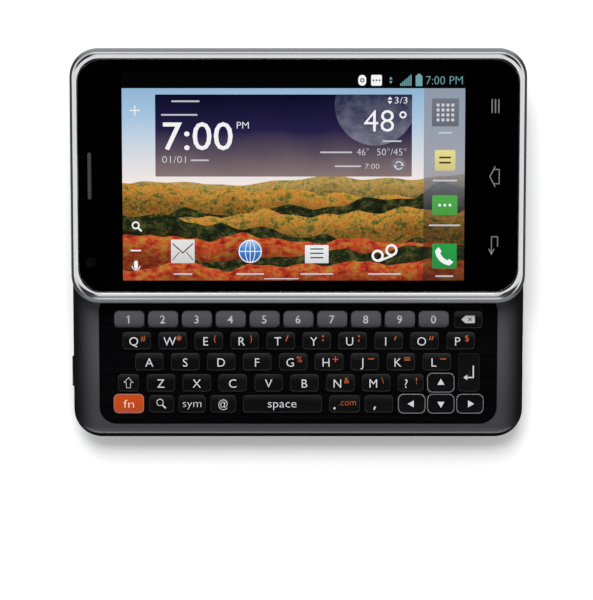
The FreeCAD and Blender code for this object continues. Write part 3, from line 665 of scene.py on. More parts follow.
BLACK_INK = Printed("black_ink", (0.0008, 0.0008, 0.0009), grain=8.0, gloss=0.0, mottle=0.05)
ICON_INK = Printed("icon_ink", srgb(226, 226, 230), grain=8.0, mottle=0.05)
# housing: its own satin grey, and the darker painted shade at its ends
SATIN_EDGE = SatinEdge("satin_edge", srgb(106, 107, 110), srgb(42, 42, 44), 57.75)
COVER_PAINT = Moulded("cover_soft_black", srgb(22, 22, 24), 0.6, 5.0, 0.008, 0.12)
SIDE_KEY_PAINT = Moulded("side_key_dark", srgb(18, 18, 19), 0.4, 9.0, 0.002, 0.2, 0.06)
SOCKET_BLACK = Moulded("socket_black", srgb(18, 18, 19), 0.45, 6.0, 0.004, 0.4)
MAT_SILICONE = Moulded("mat_silicone", srgb(88, 88, 92), 0.6, 3.0, 0.006, 0.3)
FLEX_AMBER = Moulded("flex_amber", srgb(150, 92, 30), 0.35, 2.0, 0.004, 0.5)
BLACK_KEY = Moulded("key_black", srgb(5, 5, 6), 0.22, 10.0, 0.001, 1.0, 0.06)
# grey cap colours from painted shade at the front edge to painted highlight at the back
GREY_KEY_SHADE_STOPS = ((0.0, srgb(30, 30, 32)), (0.13, srgb(58, 58, 61)), (0.3, srgb(70, 70, 73)),
                  (0.6, srgb(82, 81, 85)), (0.86, srgb(104, 103, 107)), (1.0, srgb(132, 131, 135)))
ORANGE_KEY = Moulded("key_orange", srgb(168, 61, 14), 0.45, 10.0, 0.0015, 0.2, 0.05)
WHITE_LEGEND = Printed("legend_white", srgb(188, 188, 191))
PALE_LEGEND = Printed("legend_pale", srgb(192, 192, 196))
ORANGE_LEGEND = Printed("legend_orange", srgb(168, 82, 38))
WARM_LEGEND = Printed("legend_warm", srgb(232, 192, 172))
WARM_RIM = Printed("rim_warm", srgb(146, 128, 120), 0.45, gloss=0.3, mottle=0.04)
OUTLINE_LEGEND = Printed("legend_outline", srgb(150, 150, 154), 0.45, gloss=0.3, mottle=0.04)
# frame: lit graphite, and the near-black of its painted shade
GRAPHITE = Graphite("rim_graphite", srgb(67, 67, 69), srgb(7, 7, 8), 58.3, 32.65)
DECK_GLOSS = BrushedGloss("deck_brushed", srgb(3, 3, 4), srgb(9, 9, 10))
CHROME = Metal("bezel_bright", srgb(250, 250, 252), 0.04, (2.0, 2.0, 2.0))
PLATE_STEEL = Metal("plate_steel", srgb(176, 177, 180), 0.34, depth=0.003)
SOCKET_STEEL = Metal("socket_steel", srgb(196, 197, 200), 0.25, depth=0.002)
SPRING_STEEL = Metal("bright_spring", srgb(205, 205, 208), 0.2, (1.0, 1.0, 1.0))
GRILLE_METAL = Metal("grille_metal", srgb(150, 151, 154), 0.4, (5.0, 5.0, 5.0), 0.004)
CELL_FOIL = Metal("cell_foil", srgb(120, 121, 126), 0.45, (1.0, 1.0, 1.0))
GLASS = ClearGlass("clear_glass")
SMOKED_GLASS = ClearGlass("smoked_glass", (0.25, 0.25, 0.26))
BOARD = Circuit("green_board", srgb(20, 70, 46), srgb(48, 112, 70))
SCREEN_WHITE = Lit("screen_white", srgb(250, 250, 252))
SCREEN_PALE = Lit("screen_pale", srgb(214, 216, 224))
SCREEN_LINE = Lit("screen_line", srgb(214, 216, 224), 0.6)
SCREEN_BAR = Lit("screen_bar", srgb(5, 5, 6))
SCREEN_TEAL = Lit("screen_teal", srgb(118, 168, 176))
SCREEN_STRIP = Veil("screen_strip", srgb(146, 150, 162), srgb(44, 38, 28), 22.0, 40.0)
SCREEN_GREY = Lit("screen_grey", srgb(124, 118, 126))
SCREEN_DARK_SIGN = Lit("screen_dark_sign", srgb(66, 60, 52))
CARD_STOPS = ((0.0, srgb(140, 121, 120)), (0.3, srgb(92, 80, 94)), (0.55, srgb(38, 32, 72)), (1.0, srgb(14, 12, 40)))
MOON_STOPS = ((0.0, srgb(124, 122, 140)), (0.5, srgb(88, 90, 112)), (1.0, srgb(46, 48, 78)))
GLOBE_STOPS = ((0.0, srgb(30, 84, 164)), (0.6, srgb(70, 140, 214)), (1.0, srgb(176, 214, 244)))


# ------------------------------------------------------------------------------ mesh making
LEAST = 1e-4            # smallest corner and half side of an outline
MERGE = 1e-9            # distance in metres within which the corners of a piece are one
CAD_MERGE = 1e-7        # the same for a copy of a CAD mesh
SPLIT_MERGE = 1e-8      # the same where faces are split
LEVEL = 0.99999         # upward share of a normal from which a face counts as level
SHARPEST = 0.4          # the mitre of a sharper corner is cut short


def rounded_loop(half_x: float, half_y: float, corner: float, centre: Point = (0.0, 0.0), turn_steps: int = 8,
                 side_steps: int = 1) -> list[Point]:
    """Points round a rectangle with round corners, anticlockwise.

    Args:
        half_x: Half its length.
        half_y: Half its width.
        corner: Radius of its corners.
        centre: Its middle.
        turn_steps: Segments in each corner.
        side_steps: Segments in each straight side.

    Returns:
        The points.
    """
    corner = max(min(corner, half_x - LEAST, half_y - LEAST), LEAST)
    a, b = half_x - corner, half_y - corner
    turns = [circle((centre[0] + x, centre[1] + y), corner, turn_steps, start, 90.0)
             for x, y, start in ((a, b, 0.0), (-a, b, 90.0), (-a, -b, 180.0), (a, -b, 270.0))]
    points: list[Point] = []
    for turn, following in zip(turns, turns[1:] + turns[:1]):
        (x, y), (to_x, to_y) = turn[-1], following[0]
        points += turn + [(x + (to_x - x) * k / side_steps, y + (to_y - y) * k / side_steps)
                          for k in range(1, side_steps)]
    return points


def circle(centre: Point, radius: float, steps: int = 24, start: float = 0.0, sweep: float = 360.0) -> list[Point]:
    """Points of a circle, or of an arc with both its ends.

    Args:
        centre: Its middle.
        radius: Its radius.
        steps: Segments.
        start: First angle in degrees.
        sweep: How far it runs in degrees.

    Returns:
        The points, anticlockwise.
    """
    angles = [math.radians(start + sweep * k / steps) for k in range(steps + (sweep < 360.0))]
    return [(centre[0] + radius * math.cos(angle), centre[1] + radius * math.sin(angle)) for angle in angles]


def shifted(points: Iterable[Point], x: float, y: float) -> list[Point]:
    """Points moved by x and y."""
    return [(px + x, py + y) for px, py in points]


def level(outline: Iterable[Point], z: float) -> list[Point3]:
    """An outline laid at one height."""
    return [(x, y, z) for x, y in outline]


def soft_edge(radius: float, angles: Sequence[float]) -> list[Point]:
    """Way in and way down at some places of a rounded upper edge."""
    return [(radius * (1 - math.cos(math.radians(a))), radius * (1 - math.sin(math.radians(a)))) for a in angles]


def stand(name: str, data: bpy.types.ID) -> bpy.types.Object:
    """Object with some data, linked into the scene.

    Args:
        name: Its name.
        data: Its mesh, lamp or camera.

    Returns:
        The object.
    """
    made = bpy.data.objects.new(name, data)
    bpy.context.scene.collection.objects.link(made)
    return made


def merged(node: str) -> bmesh.types.BMesh:
    """Copy of a CAD node's mesh with its corners joined.

    Args:
        node: Name of the CAD node.

    Returns:
        The copy, which the caller frees.
    """
    copy = bmesh.new()
    copy.from_mesh(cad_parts[node].data)
    bmesh.ops.remove_doubles(copy, verts=copy.verts[:], dist=CAD_MERGE)
    return copy


@dataclass(frozen=True)
class Words:
    """Words, and their place from the middle of what they stand on."""

    text: str
    x: float = 0.0
    y: float = -0.2
    cap: float = 2.15               # height of a capital
    weight: float = -0.004          # how much the strokes are fattened, as a share of the letters' size
    width: Optional[float] = None   # width that the words are fitted to


class Piece:
    """Mesh of one visible piece, gathered in millimetres and finished as an object."""

    def __init__(self, name: str, heights: Point = (0.0, 0.0)) -> None:
        """Start with an empty mesh; flat shapes fill the space between the two heights.

        Args:
            name: Name of the piece.
            heights: Underside and top of its flat shapes.
        """
        self.name = name
        self.low, self.high = heights
        self.mesh = bmesh.new()

    def loft(self, loops: Sequence[Sequence[Point3]], ring: bool = False) -> "Piece":
        """Skin loops of equal length.

        Args:
            loops: The loops, each a list of points.
            ring: True joins the last loop to the first; False closes both ends with a face.

        Returns:
            The piece itself.
        """
        rows = [[self.mesh.verts.new([c * MM for c in point]) for point in loop] for loop in loops]
        for low, high in zip(rows, rows[1:] + (rows[:1] if ring else [])):
            for i in range(len(low)):
                j = (i + 1) % len(low)
                self.mesh.faces.new((low[i], low[j], high[j], high[i]))
        if not ring:
            self.mesh.faces.new(list(reversed(rows[0])))
            self.mesh.faces.new(rows[-1])
        return self

    def slab(self, outline: Sequence[Point]) -> "Piece":
        """Flat plate with any outline."""
        return self.loft([level(outline, z) for z in (self.low, self.high)])

    def band(self, outer: Sequence[Point], inner: Sequence[Point]) -> "Piece":
        """Flat ring between two outlines of equal length."""
        low, high = self.low, self.high
        return self.loft([level(outer, low), level(outer, high), level(inner, high), level(inner, low)], ring=True)

    def bar(self, x: float, y: float, half_x: float, half_y: float, corner: float, steps: int = 4) -> "Piece":
        """Flat plate with round corners about a middle."""
        return self.slab(rounded_loop(half_x, half_y, corner, (x, y), steps))

    def hoop(self, centre: Point, outer: float, inner: float, steps: int = 24) -> "Piece":
        """Flat round ring."""
        return self.band(circle(centre, outer, steps), circle(centre, inner, steps))

    def stroke(self, path: Sequence[Point], width: float, closed: bool = False) -> "Piece":
        """Flat line of even width along a path, with mitred corners.

        Args:
            path: Points of the line.
            width: Its width.
            closed: True joins its ends.

        Returns:
            The piece itself.
        """
        left: list[Point] = []
        right: list[Point] = []
        for i, here in enumerate(path):
            before = path[i - 1] if (i or closed) else None
            after = path[(i + 1) % len(path)] if (i < len(path) - 1 or closed) else None
            ways = [(Vector(b) - Vector(a)).normalized() for a, b in ((before, here), (here, after))
                    if a is not None and b is not None]
            along = sum(ways, Vector((0.0, 0.0))).normalized()
            across = Vector((-along.y, along.x))
            reach = width / 2 / max(across.dot(Vector((-ways[0].y, ways[0].x))), SHARPEST)
            left.append(tuple(Vector(here) + across * reach))
            right.append(tuple(Vector(here) - across * reach))
        return self.band(right, left) if closed else self.slab(right + left[::-1])

    def write(self, words: Words, origin: Point = (0.0, 0.0)) -> "Piece":
        """Words as thin plates, with the middle of their box and of a capital at their place.

        Args:
            words: The words and their place.
            origin: Middle of what they stand on.

        Returns:
            The piece itself.
        """
        outlines = Lettering.outlines(words.text, words.weight)
        scale = words.cap / Lettering.capital()
        xs = [v.co.x for v in outlines.vertices]
        middle = (max(xs) + min(xs)) / 2
        squeeze = words.width / ((max(xs) - min(xs)) * scale) if words.width else 1.0
        top = max(v.co.z for v in outlines.vertices)
        for vert in outlines.vertices:
            x, y, z = vert.co
            vert.co = (((x - middle) * scale * squeeze + origin[0] + words.x) * MM,
                       (y * scale - words.cap / 2 + origin[1] + words.y) * MM,
                       (self.low + (self.high - self.low) * (z + top) / (top * 2)) * MM)
        self.mesh.from_mesh(outlines)
        bpy.data.meshes.remove(outlines)
        return self

    def drape(self, rule: HeightRule, lines: Iterable[float]) -> "Piece":
        """Lay flat shapes on a curved top.

        Args:
            rule: Height of the top at a place.
            lines: Places along y at which faces are split first.

        Returns:
            The piece itself.
        """
        for line in lines:
            geometry = self.mesh.verts[:] + self.mesh.edges[:] + self.mesh.faces[:]
            bmesh.ops.bisect_plane(self.mesh, geom=geometry, plane_co=(0, line * MM, 0), plane_no=(0, 1, 0),
                                   dist=SPLIT_MERGE)
        for vert in self.mesh.verts:
            vert.co.z += rule(vert.co.x / MM, vert.co.y / MM) * MM
        return self

    def finish(self, finish: Finish, smooth: float = 35.0) -> bpy.types.Object:
        """Make the object; level faces stay flat, so that they mirror without bending.

        Args:
            finish: Its finish.
            smooth: Edges sharper than this many degrees stay sharp.

        Returns:
            The object, at the origin, in the scene.
        """
        bmesh.ops.remove_doubles(self.mesh, verts=self.mesh.verts[:], dist=MERGE)
        bmesh.ops.triangulate(self.mesh, faces=[f for f in self.mesh.faces if len(f.verts) > 4])
        bmesh.ops.recalc_face_normals(self.mesh, faces=self.mesh.faces[:])
        data = bpy.data.meshes.new(self.name)
        self.mesh.to_mesh(data)
        self.mesh.free()
        data.set_sharp_from_angle(angle=math.radians(smooth))
        for face in data.polygons:
            face.use_smooth = abs(face.normal.z) < LEVEL
        data.materials.append(finish.material())
        return stand(self.name, data)


class Lettering:
    """Plain letter shapes at size 1."""

    THICK = 0.05
    CURVE_STEPS = 3
    _capital = 0.0

    @classmethod
    def outlines(cls, words: str, weight: float) -> bpy.types.Mesh:
        """Mesh of some words, its baseline on the x axis, which the caller removes.

        Args:
            words: What is written.
            weight: How much the strokes are fattened.

        Returns:
            The mesh.
        """
        curve = bpy.data.curves.new("letters", "FONT")
        curve.body, curve.offset = words, weight
        curve.extrude, curve.resolution_u = cls.THICK, cls.CURVE_STEPS
        holder = bpy.data.objects.new("letters", curve)
        made = bpy.data.meshes.new_from_object(holder)
        bpy.data.objects.remove(holder)
        bpy.data.curves.remove(curve)
        return made

    @classmethod
    def capital(cls) -> float:
        """Height of a capital at size 1.

        Returns:
            The height.
        """
        if not cls._capital:
            sample = cls.outlines("H", 0.0)
            cls._capital = max(v.co.y for v in sample.vertices)
            bpy.data.meshes.remove(sample)
        return cls._capital


class Repeat(Tree):
    """Geometry Nodes that repeat one small shape over a grid."""

    SIZES = {"Columns": "Int", "Rows": "Int", "Pitch X": "Float", "Pitch Y": "Float", "Centre": "Vector",
             "Shape": "Object", "Finish": "Material"}

    def __init__(self) -> None:
        """Build the tree once."""
        super().__init__(bpy.data.node_groups.new("grid_of_shapes", "GeometryNodeTree"))
        face = self.data.interface
        self.inputs = {name: face.new_socket(name=name, in_out="INPUT", socket_type="NodeSocket" + kind).identifier
                       for name, kind in self.SIZES.items()}
        face.new_socket(name="Geometry", in_out="OUTPUT", socket_type="NodeSocketGeometry")
        given = self.node("NodeGroupInput").outputs
        columns, rows, pitch_x, pitch_y, centre, shape, finish = (Value(self, given[name]) for name in self.SIZES)
        grid = self.value("GeometryNodeMeshGrid", sockets={
            "Vertices X": columns, "Vertices Y": rows,
            "Size X": (columns - 1.0) * pitch_x, "Size Y": (rows - 1.0) * pitch_y})
        points = self.value("GeometryNodeSetPosition", sockets={"Geometry": grid, "Offset": centre})
        single = self.value("GeometryNodeObjectInfo", sockets={"Object": shape}, output="Geometry")
        copies = self.value("GeometryNodeInstanceOnPoints", sockets={"Points": points, "Instance": single})
        real = self.value("GeometryNodeRealizeInstances", sockets={"Geometry": copies})
        painted = self.value("GeometryNodeSetMaterial", sockets={"Geometry": real, "Material": finish})
        self.node("NodeGroupOutput", sockets={"Geometry": painted})

    def make(self, name: str, shape: bpy.types.Object, finish: Finish, columns: int, rows: int, pitch: Point,
             centre: Point3) -> bpy.types.Object:
        """Repeat a shape that stands at the origin, and remove the shape.

        Args:
            name: Name of the piece.
            shape: What is repeated.
            finish: Its finish.
            columns: Copies along x.
            rows: Copies along y.
            pitch: Distance between copies each way.
            centre: Middle of the grid.

        Returns:
            The finished object, a plain mesh.
        """
        holder = stand(name + "_grid", bpy.data.meshes.new(name + "_grid"))
        modifier = holder.modifiers.new("grid", "NODES")
        modifier.node_group = self.data
        sizes = {"Columns": columns, "Rows": rows, "Pitch X": pitch[0] * MM, "Pitch Y": pitch[1] * MM,
                 "Centre": [c * MM for c in centre], "Shape": shape, "Finish": finish.material()}
        for label, size in sizes.items():
            modifier[self.inputs[label]] = size
        graph = bpy.context.evaluated_depsgraph_get()
        graph.update()
        data = bpy.data.meshes.new_from_object(holder.evaluated_get(graph))
        data.name = name
        for spent in (holder, shape):
            bpy.data.objects.remove(spent)
        return stand(name, data)


class Body(Enum):
    """Bodies that are named often."""

    KEYBOARD = "keyboard_half"
    DISPLAY = "display_half"


def seat(made: bpy.types.Object, body: Union[Body, str], slot: str, *replaced: str) -> bpy.types.Object:
    """Put a finished piece on its body.

    Args:
        made: The piece.
        body: The body that it moves with.
        slot: The record's material slot that its finish belongs to; not used.
        *replaced: CAD nodes that it stands for.

    Returns:
        The piece.
    """
    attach(made, body.value if isinstance(body, Body) else body)
    if replaced:
        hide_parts(*replaced)
    LOG.info("%s: %d faces", made.name, len(made.data.polygons))
    return made


def box_of(node: str) -> tuple[Vector, Vector]:
    """A CAD node's box in millimetres."""
    low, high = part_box(node)
    return low / MM, high / MM


# ----------------------------------------------------------------------------- display half
@dataclass
class DisplayFront:
    """Bezel, cover glass, black border and what shows in the border."""

    corner: float = 6.2             # plan radius of the glass and of the bezel's outside
    fit: float = 0.05
    turn_steps: int = 20
    tilts: tuple[Point, ...] = (    # way in from the outside of a long side, slope in degrees
        (0.0, 30.0), (0.04, 9.6), (0.11, 9.6), (0.16, 15.4), (0.31, 15.4), (0.36, 9.0), (0.57, 9.0), (0.66, 11.2),
        (0.84, 11.8), (0.92, 14.2), (1.12, 14.3), (1.18, 15.2), (1.38, 15.8), (1.46, 20.0), (1.58, 19.2),
        (1.65, 6.0), (1.72, -40.0), (1.79, -66.0), (1.85, -66.0))
    start_below: float = 0.6        # outer edge of the ring below the top of the glass
    foot_below: float = 1.62
    lap: float = 0.3                # how far the ring covers the housing at the ends
    ring_width: float = 1.85
    glass_gap: float = 0.08         # air between the display and the glass
    glass_soft: float = 0.22        # rounding of the glass's upper edge
    ink: float = 0.03               # thickness of the printed border
    ink_inset: float = 0.15
    ink_low: float = 0.02           # undersides, above the underside of the glass
    camera_low: float = 0.04
    icon_low: float = 0.055
    grille_low: float = 0.06
    icon_thick: float = 0.012
    grille_sunk: float = 0.25       # top of the grille below the top of the glass
    grille_fit: float = 0.03
    earpiece_slot: Point = (0.46, 5.9)
    hole_radius: float = 0.1
    hole_rows: int = 28
    hole_pitch: Point = (0.32, 0.4)
    camera_ring: Sequence[Point] = ((1.35, 0.0), (1.35, 0.02), (0.9, 0.03), (0.62, 0.02), (0.62, 0.0))
    camera_lens: Sequence[Point] = ((0.6, 0.0), (0.5, 0.012), (0.35, 0.022), (0.15, 0.028))
    icon_x: float = 49.7
    icon_line: float = 0.23
    icon_y: tuple[float, float, float] = (52.3, 34.6, 17.3)

    def __post_init__(self) -> None:
        """Take the places from the frame."""
        self.bezel_low, self.bezel_high = box_of("chrome_bezel")
        self.glass_low, self.glass_high = box_of("front_glass")
        self.middle = (self.glass_low + self.glass_high) / 2
        self.earpiece = sum(box_of("earpiece"), Vector()) / 2
        self.camera = sum(box_of("front_camera"), Vector()) / 2

    def outline(self, half_x: float, half_y: float, corner: float) -> list[Point]:
        """Rounded outline about the middle of the display half."""
        return rounded_loop(half_x, half_y, corner, (self.middle.x, self.middle.y), self.turn_steps)

    def build(self) -> None:
        """Make every piece of the front."""
        self.bezel()
        self.glass()
        self.border()
        self.earpiece_grille()
        self.camera_eye()
        self.touch_icons()

    def bezel(self) -> None:
        """Bright ring with an inner lip, a groove and an outer ridge."""
        outer = (self.bezel_high - self.bezel_low) / 2
        inner = (self.glass_high - self.glass_low) / 2
        top = self.glass_high.z
        profile = [(0.0, self.start_below)]
        for (before, slope), (way_in, tilt) in zip(self.tilts, self.tilts[1:]):
            rise = (way_in - before) * math.tan(math.radians((slope + tilt) / 2))
            profile.append((way_in, profile[-1][1] - rise))
        loops = []
        foot, step = self.foot_below, self.start_below + 0.06
        for way_in, below, lap in [(self.ring_width, foot, 0.0), (0.0, foot, 0.0), (0.0, step, 0.0),
                                   (0.0, step, self.lap)] + [(*place, self.lap) for place in profile]:
            share = way_in / self.ring_width
            half_x = outer.x + lap + (inner.x + self.fit - outer.x - lap) * share
            half_y = outer.y + (inner.y + self.fit - outer.y) * share
            corner = self.corner + lap * (1 - share)
            loops.append(level(self.outline(half_x, half_y, corner), top - below))
        ring = Piece("bright_bezel").loft(loops, ring=True).finish(CHROME, 28.0)
        seat(ring, Body.DISPLAY, "bright_bezel", "chrome_bezel")

    def glass(self) -> None:
        """Clear pane with a softened edge and the earpiece slot."""
        half = (self.glass_high - self.glass_low) / 2
        low, high = self.glass_low.z + self.glass_gap, self.glass_high.z
        rim = [(0.0, low), (0.0, high - self.glass_soft)]
        rim += [(inset, high - below) for inset, below in soft_edge(self.glass_soft, (30, 60, 90))]
        loops = [level(self.outline(half.x - inset, half.y - inset, self.corner - inset), z) for inset, z in rim]
        place = (self.earpiece.x, self.earpiece.y)
        slot = rounded_loop(*self.earpiece_slot, self.earpiece_slot[0], place, self.turn_steps)
        loops += [level(slot, z) for z in (high, low)]
        seat(Piece("cover_pane").loft(loops, ring=True).finish(GLASS), Body.DISPLAY, "cover_glass", "front_glass")

    def border(self) -> None:
        """Black ink under the glass, open over the lit screen."""
        half = (self.glass_high - self.glass_low) / 2
        low = self.glass_low.z + self.ink_low
        outer = self.outline(half.x - self.ink_inset, half.y - self.ink_inset, self.corner - self.ink_inset)
        left, right, bottom, top = WINDOW
        window = ((right, top), (left, top), (left, bottom), (right, bottom))
        inner = [corner for corner in window for _ in range(len(outer) // len(window))]
        made = Piece("black_border", (low, low + self.ink)).band(outer, inner).finish(BLACK_INK)
        seat(made, Body.DISPLAY, "cover_glass")

    def earpiece_grille(self) -> None:
        """Metal strip in the slot, with a field of fine holes."""
        x, y = self.earpiece.x, self.earpiece.y
        half_x, half_y = (half - self.grille_fit for half in self.earpiece_slot)
        low, high = self.glass_low.z + self.grille_low, self.glass_high.z - self.grille_sunk
        loops = [level(rounded_loop(half_x - inset, half_y - inset, half_x, (x, y), 10), z)
                 for inset, z in ((0.0, low), (0.0, high - 0.1), (0.06, high - 0.02), (0.16, high))]
        seat(Piece("earpiece_grille").loft(loops).finish(GRILLE_METAL), Body.DISPLAY, "steel")
        hole = Piece("hole", (0.0, 0.012)).slab(circle((0.0, 0.0), self.hole_radius, 8)).finish(BLACK_INK)
        holes = REPEAT.make("earpiece_holes", hole, BLACK_INK, 2, self.hole_rows, self.hole_pitch,
                            (x, y, high - 0.002))
        seat(holes, Body.DISPLAY, "black_plastic")

    def camera_eye(self) -> None:
        """Lens of the front camera under the glass, with its dark ring."""
        low = self.glass_low.z + self.camera_low
        for name, profile, steps, ring, finish in (
                ("front_camera_ring", self.camera_ring, 32, True, SIDE_KEY_PAINT),
                ("front_camera_lens", self.camera_lens, 24, False, BLACK_KEY)):
            loops = [level(circle((self.camera.x, self.camera.y), radius, steps), low + rise)
                     for radius, rise in profile]
            seat(Piece(name).loft(loops, ring).finish(finish), Body.DISPLAY, "black_plastic")

    def touch_icons(self) -> None:
        """Menu, home and back signs printed in the border."""
        low = self.glass_low.z + self.icon_low
        menu, home, back = self.icon_y
        piece = Piece("touch_icons", (low, low + self.icon_thick))
        for offset in (-0.85, 0.0, 0.85):
            piece.bar(self.icon_x + offset, menu, 0.15, 1.75, 0.08, 3)
        for y, path in ((home, ((0.1, 2.6), (-1.25, 0.0), (0.1, -2.6))),
                        (home, ((-0.25, 1.8), (1.1, 1.8), (1.1, -1.8), (-0.25, -1.8))),
                        (back, ((0.85, -0.4), (0.85, 2.1), (-0.7, 2.1), (-0.7, -2.0))),
                        (back, ((-1.4, -0.95), (-0.7, -2.3), (0.0, -0.95)))):
            piece.stroke(shifted(path, self.icon_x, y), self.icon_line)
        seat(piece.finish(ICON_INK), Body.DISPLAY, "cover_glass")


ROW_X, ROW_Y = (-29.3, -12.2, 4.7, 21.9), 15.7             # tiles along the bottom
COLUMN_X, COLUMN_Y = 37.1, (50.7, 38.7, 27.4, 14.5)        # tiles down the side strip


@dataclass(frozen=True)
class Tile:
    """Plain app tile of the lit screen."""

    name: str
    colour: Colour
    x: float
    y: float
    half_x: float
    half_y: float
    corner: float


@dataclass
class Screen:
    """What the lit screen shows: a made-up view, a clock card, plain app tiles and signs."""

    sheet: float = 0.006            # thickness of each layer
    air: float = 0.003              # between two layers
    bar_bottom: float = 56.75
    skyline: float = 32.6
    card: tuple[float, float, float, float] = (-36.1, 28.7, 34.6, 55.2)
    strip_left: float = 31.7
    moon_place: Point = (19.4, 52.6)
    moon_radius: float = 10.2
    turn_place: Point = (25.4, 37.4)            # round sign with two bent arrows
    teal_x: tuple[float, float, float] = (23.3, 25.7, 30.4)         # traffic, signal and battery signs
    signal_bars: int = 6
    signal_pitch: float = 0.5
    signal_rise: float = 0.42
    dots_x: Point = (16.1, 19.7)
    round_half: float = 3.0                     # radius of the globe
    edge_x: float = -41.2
    digits: Sequence[Words] = (
        Words("7:00", -25.35, 44.75, 6.8, 0.004, 17.6), Words("48", 20.35, 48.6, 5.4, -0.008, 7.6))
    upper_words: Sequence[Words] = (
        Words("3/3", 25.9, 53.75, 1.6, -0.012, 3.2), Words("PM", -14.0, 47.5, 1.7, -0.012, 3.0))
    small_digits: Sequence[Words] = (
        Words("01/01", -31.4, 38.9, 1.7, -0.012, 6.0), Words("46\u00b0", 16.3, 40.8, 1.7, -0.012, 3.0),
        Words("50\u00b0/45\u00b0", 23.6, 40.8, 1.7, -0.012, 7.4), Words("7:00", 18.7, 37.2, 1.3, -0.012, 3.6))
    card_bars: Sequence[Point3] = (             # left end, right end and middle height
        (-32.0, -24.9, 53.5), (-34.6, -25.4, 50.1), (-27.2, -22.6, 38.7), (21.3, 26.1, 43.5), (5.5, 13.6, 40.7),
        (9.2, 15.9, 37.2))
    bar_half: float = 0.2                       # half the height of a bar that stands for a word
    app_tiles: Sequence[Tile] = (
        Tile("letter", srgb(236, 234, 232), ROW_X[0], ROW_Y, 3.0, 3.0, 0.3),
        Tile("sheet", srgb(244, 246, 248), ROW_X[2], ROW_Y - 0.7, 3.0, 2.3, 0.2),
        Tile("grid", srgb(118, 124, 136), COLUMN_X, COLUMN_Y[0], 3.4, 3.5, 0.1),
        Tile("folder", srgb(240, 226, 150), COLUMN_X, COLUMN_Y[1], 2.6, 2.6, 0.4),
        Tile("bubble", srgb(84, 176, 78), COLUMN_X, COLUMN_Y[2], 3.2, 2.5, 0.5),
        Tile("handset", srgb(46, 162, 78), COLUMN_X, COLUMN_Y[3], 3.1, 3.15, 0.2))

    def __post_init__(self) -> None:
        """Take the height from the frame."""
        self.base = box_of("display_panel")[1].z + 0.004

    def heights(self, layer: int) -> Point:
        """Underside and top of a layer; layer 0 is the picture itself."""
        low = self.base + layer * (self.sheet + self.air)
        return low, low + self.sheet

    @staticmethod
    def show(piece: Piece, finish: Finish) -> None:
        """Finish a piece and seat it on the display."""
        seat(piece.finish(finish), Body.DISPLAY, "display")

    def plate(self, name: str, layer: int, finish: Finish, x0: float, x1: float, y0: float, y1: float,
              corner: float = 0.01) -> None:
        """One flat lit rectangle."""
        piece = Piece(name, self.heights(layer))
        self.show(piece.bar((x0 + x1) / 2, (y0 + y1) / 2, (x1 - x0) / 2, (y1 - y0) / 2, corner), finish)

    def build(self) -> None:
        """Make every layer of the screen."""
        left, right, bottom, top = WINDOW
        view = Landscape("screen_view", self.skyline, self.bar_bottom)
        self.plate("screen_picture", 0, view, left, right, bottom, top)
        self.plate("screen_status_bar", 1, SCREEN_BAR, left, right, self.bar_bottom, top)
        self.plate("screen_side_strip", 1, SCREEN_STRIP, self.strip_left, right, bottom, self.bar_bottom)
        night = LitShade("card_shade", *self.card[2:], CARD_STOPS)
        self.plate("screen_card", 1, night, *self.card, 0.3)
        self.moon()
        self.clock()
        self.turn_sign()
        self.status()
        self.tiles()
        self.dark_signs()
        self.pale_signs()
        self.bars()
        self.edge_signs()

    def moon(self) -> None:
        """Pale disc in the corner of the card, cut off by its edges."""
        _, x1, _, y1 = self.card
        arc = [(x, y) for x, y in circle(self.moon_place, self.moon_radius, 70, 165.0, 210.0) if x < x1 and y < y1]
        outline = [(arc[0][0], y1)] + arc + [(x1, arc[-1][1]), (x1, y1)]
        disc = LitShade("moon_shade", y1 - self.moon_radius * 1.3, y1, MOON_STOPS, 0.5)
        self.show(Piece("screen_moon", self.heights(2)).slab(outline), disc)

    def clock(self) -> None:
        """Digits and lines of the card."""
        white = Piece("screen_card_digits", self.heights(3))
        for words in self.digits:
            white.write(words)
        white.hoop((26.4, 50.1), 0.9, 0.5)
        white.slab([(22.5, 53.95), (23.7, 53.95), (23.1, 54.7)])
        white.slab([(22.5, 53.55), (23.1, 52.8), (23.7, 53.55)])
        for words in self.upper_words:
            white.write(words)
        self.show(white, SCREEN_WHITE)
        pale, bars = (Piece(name, self.heights(3)) for name in ("screen_card_lines", "screen_card_bars"))
        for words in self.small_digits:
            pale.write(words)
        for left, right, y in self.card_bars:
            self.line(bars, (left + right) / 2, y, (right - left) / 2)
        self.show(bars, SCREEN_LINE)
        self.show(pale, SCREEN_PALE)

    def turn_sign(self) -> None:
        """Round button of the card, with two bent arrows."""
        self.show(Piece("screen_card_button", self.heights(2)).slab(circle(self.turn_place, 1.95, 32)), SCREEN_GREY)
        turn = Piece("screen_card_turn", self.heights(3))
        for start in (20.0, 200.0):
            turn.stroke(circle(self.turn_place, 0.95, 12, start, 130.0), 0.3)
            tip = circle(self.turn_place, 0.95, 1, start + 130.0, 40.0)[1]
            turn.slab(circle(tip, 0.5, 3, start + 240.0))
        self.show(turn, SCREEN_PALE)

    def line(self, piece: Piece, x: float, y: float, half: float) -> None:
        """Plain bar about a middle, which stands for a word."""
        piece.bar(x, y, half, self.bar_half, self.bar_half)

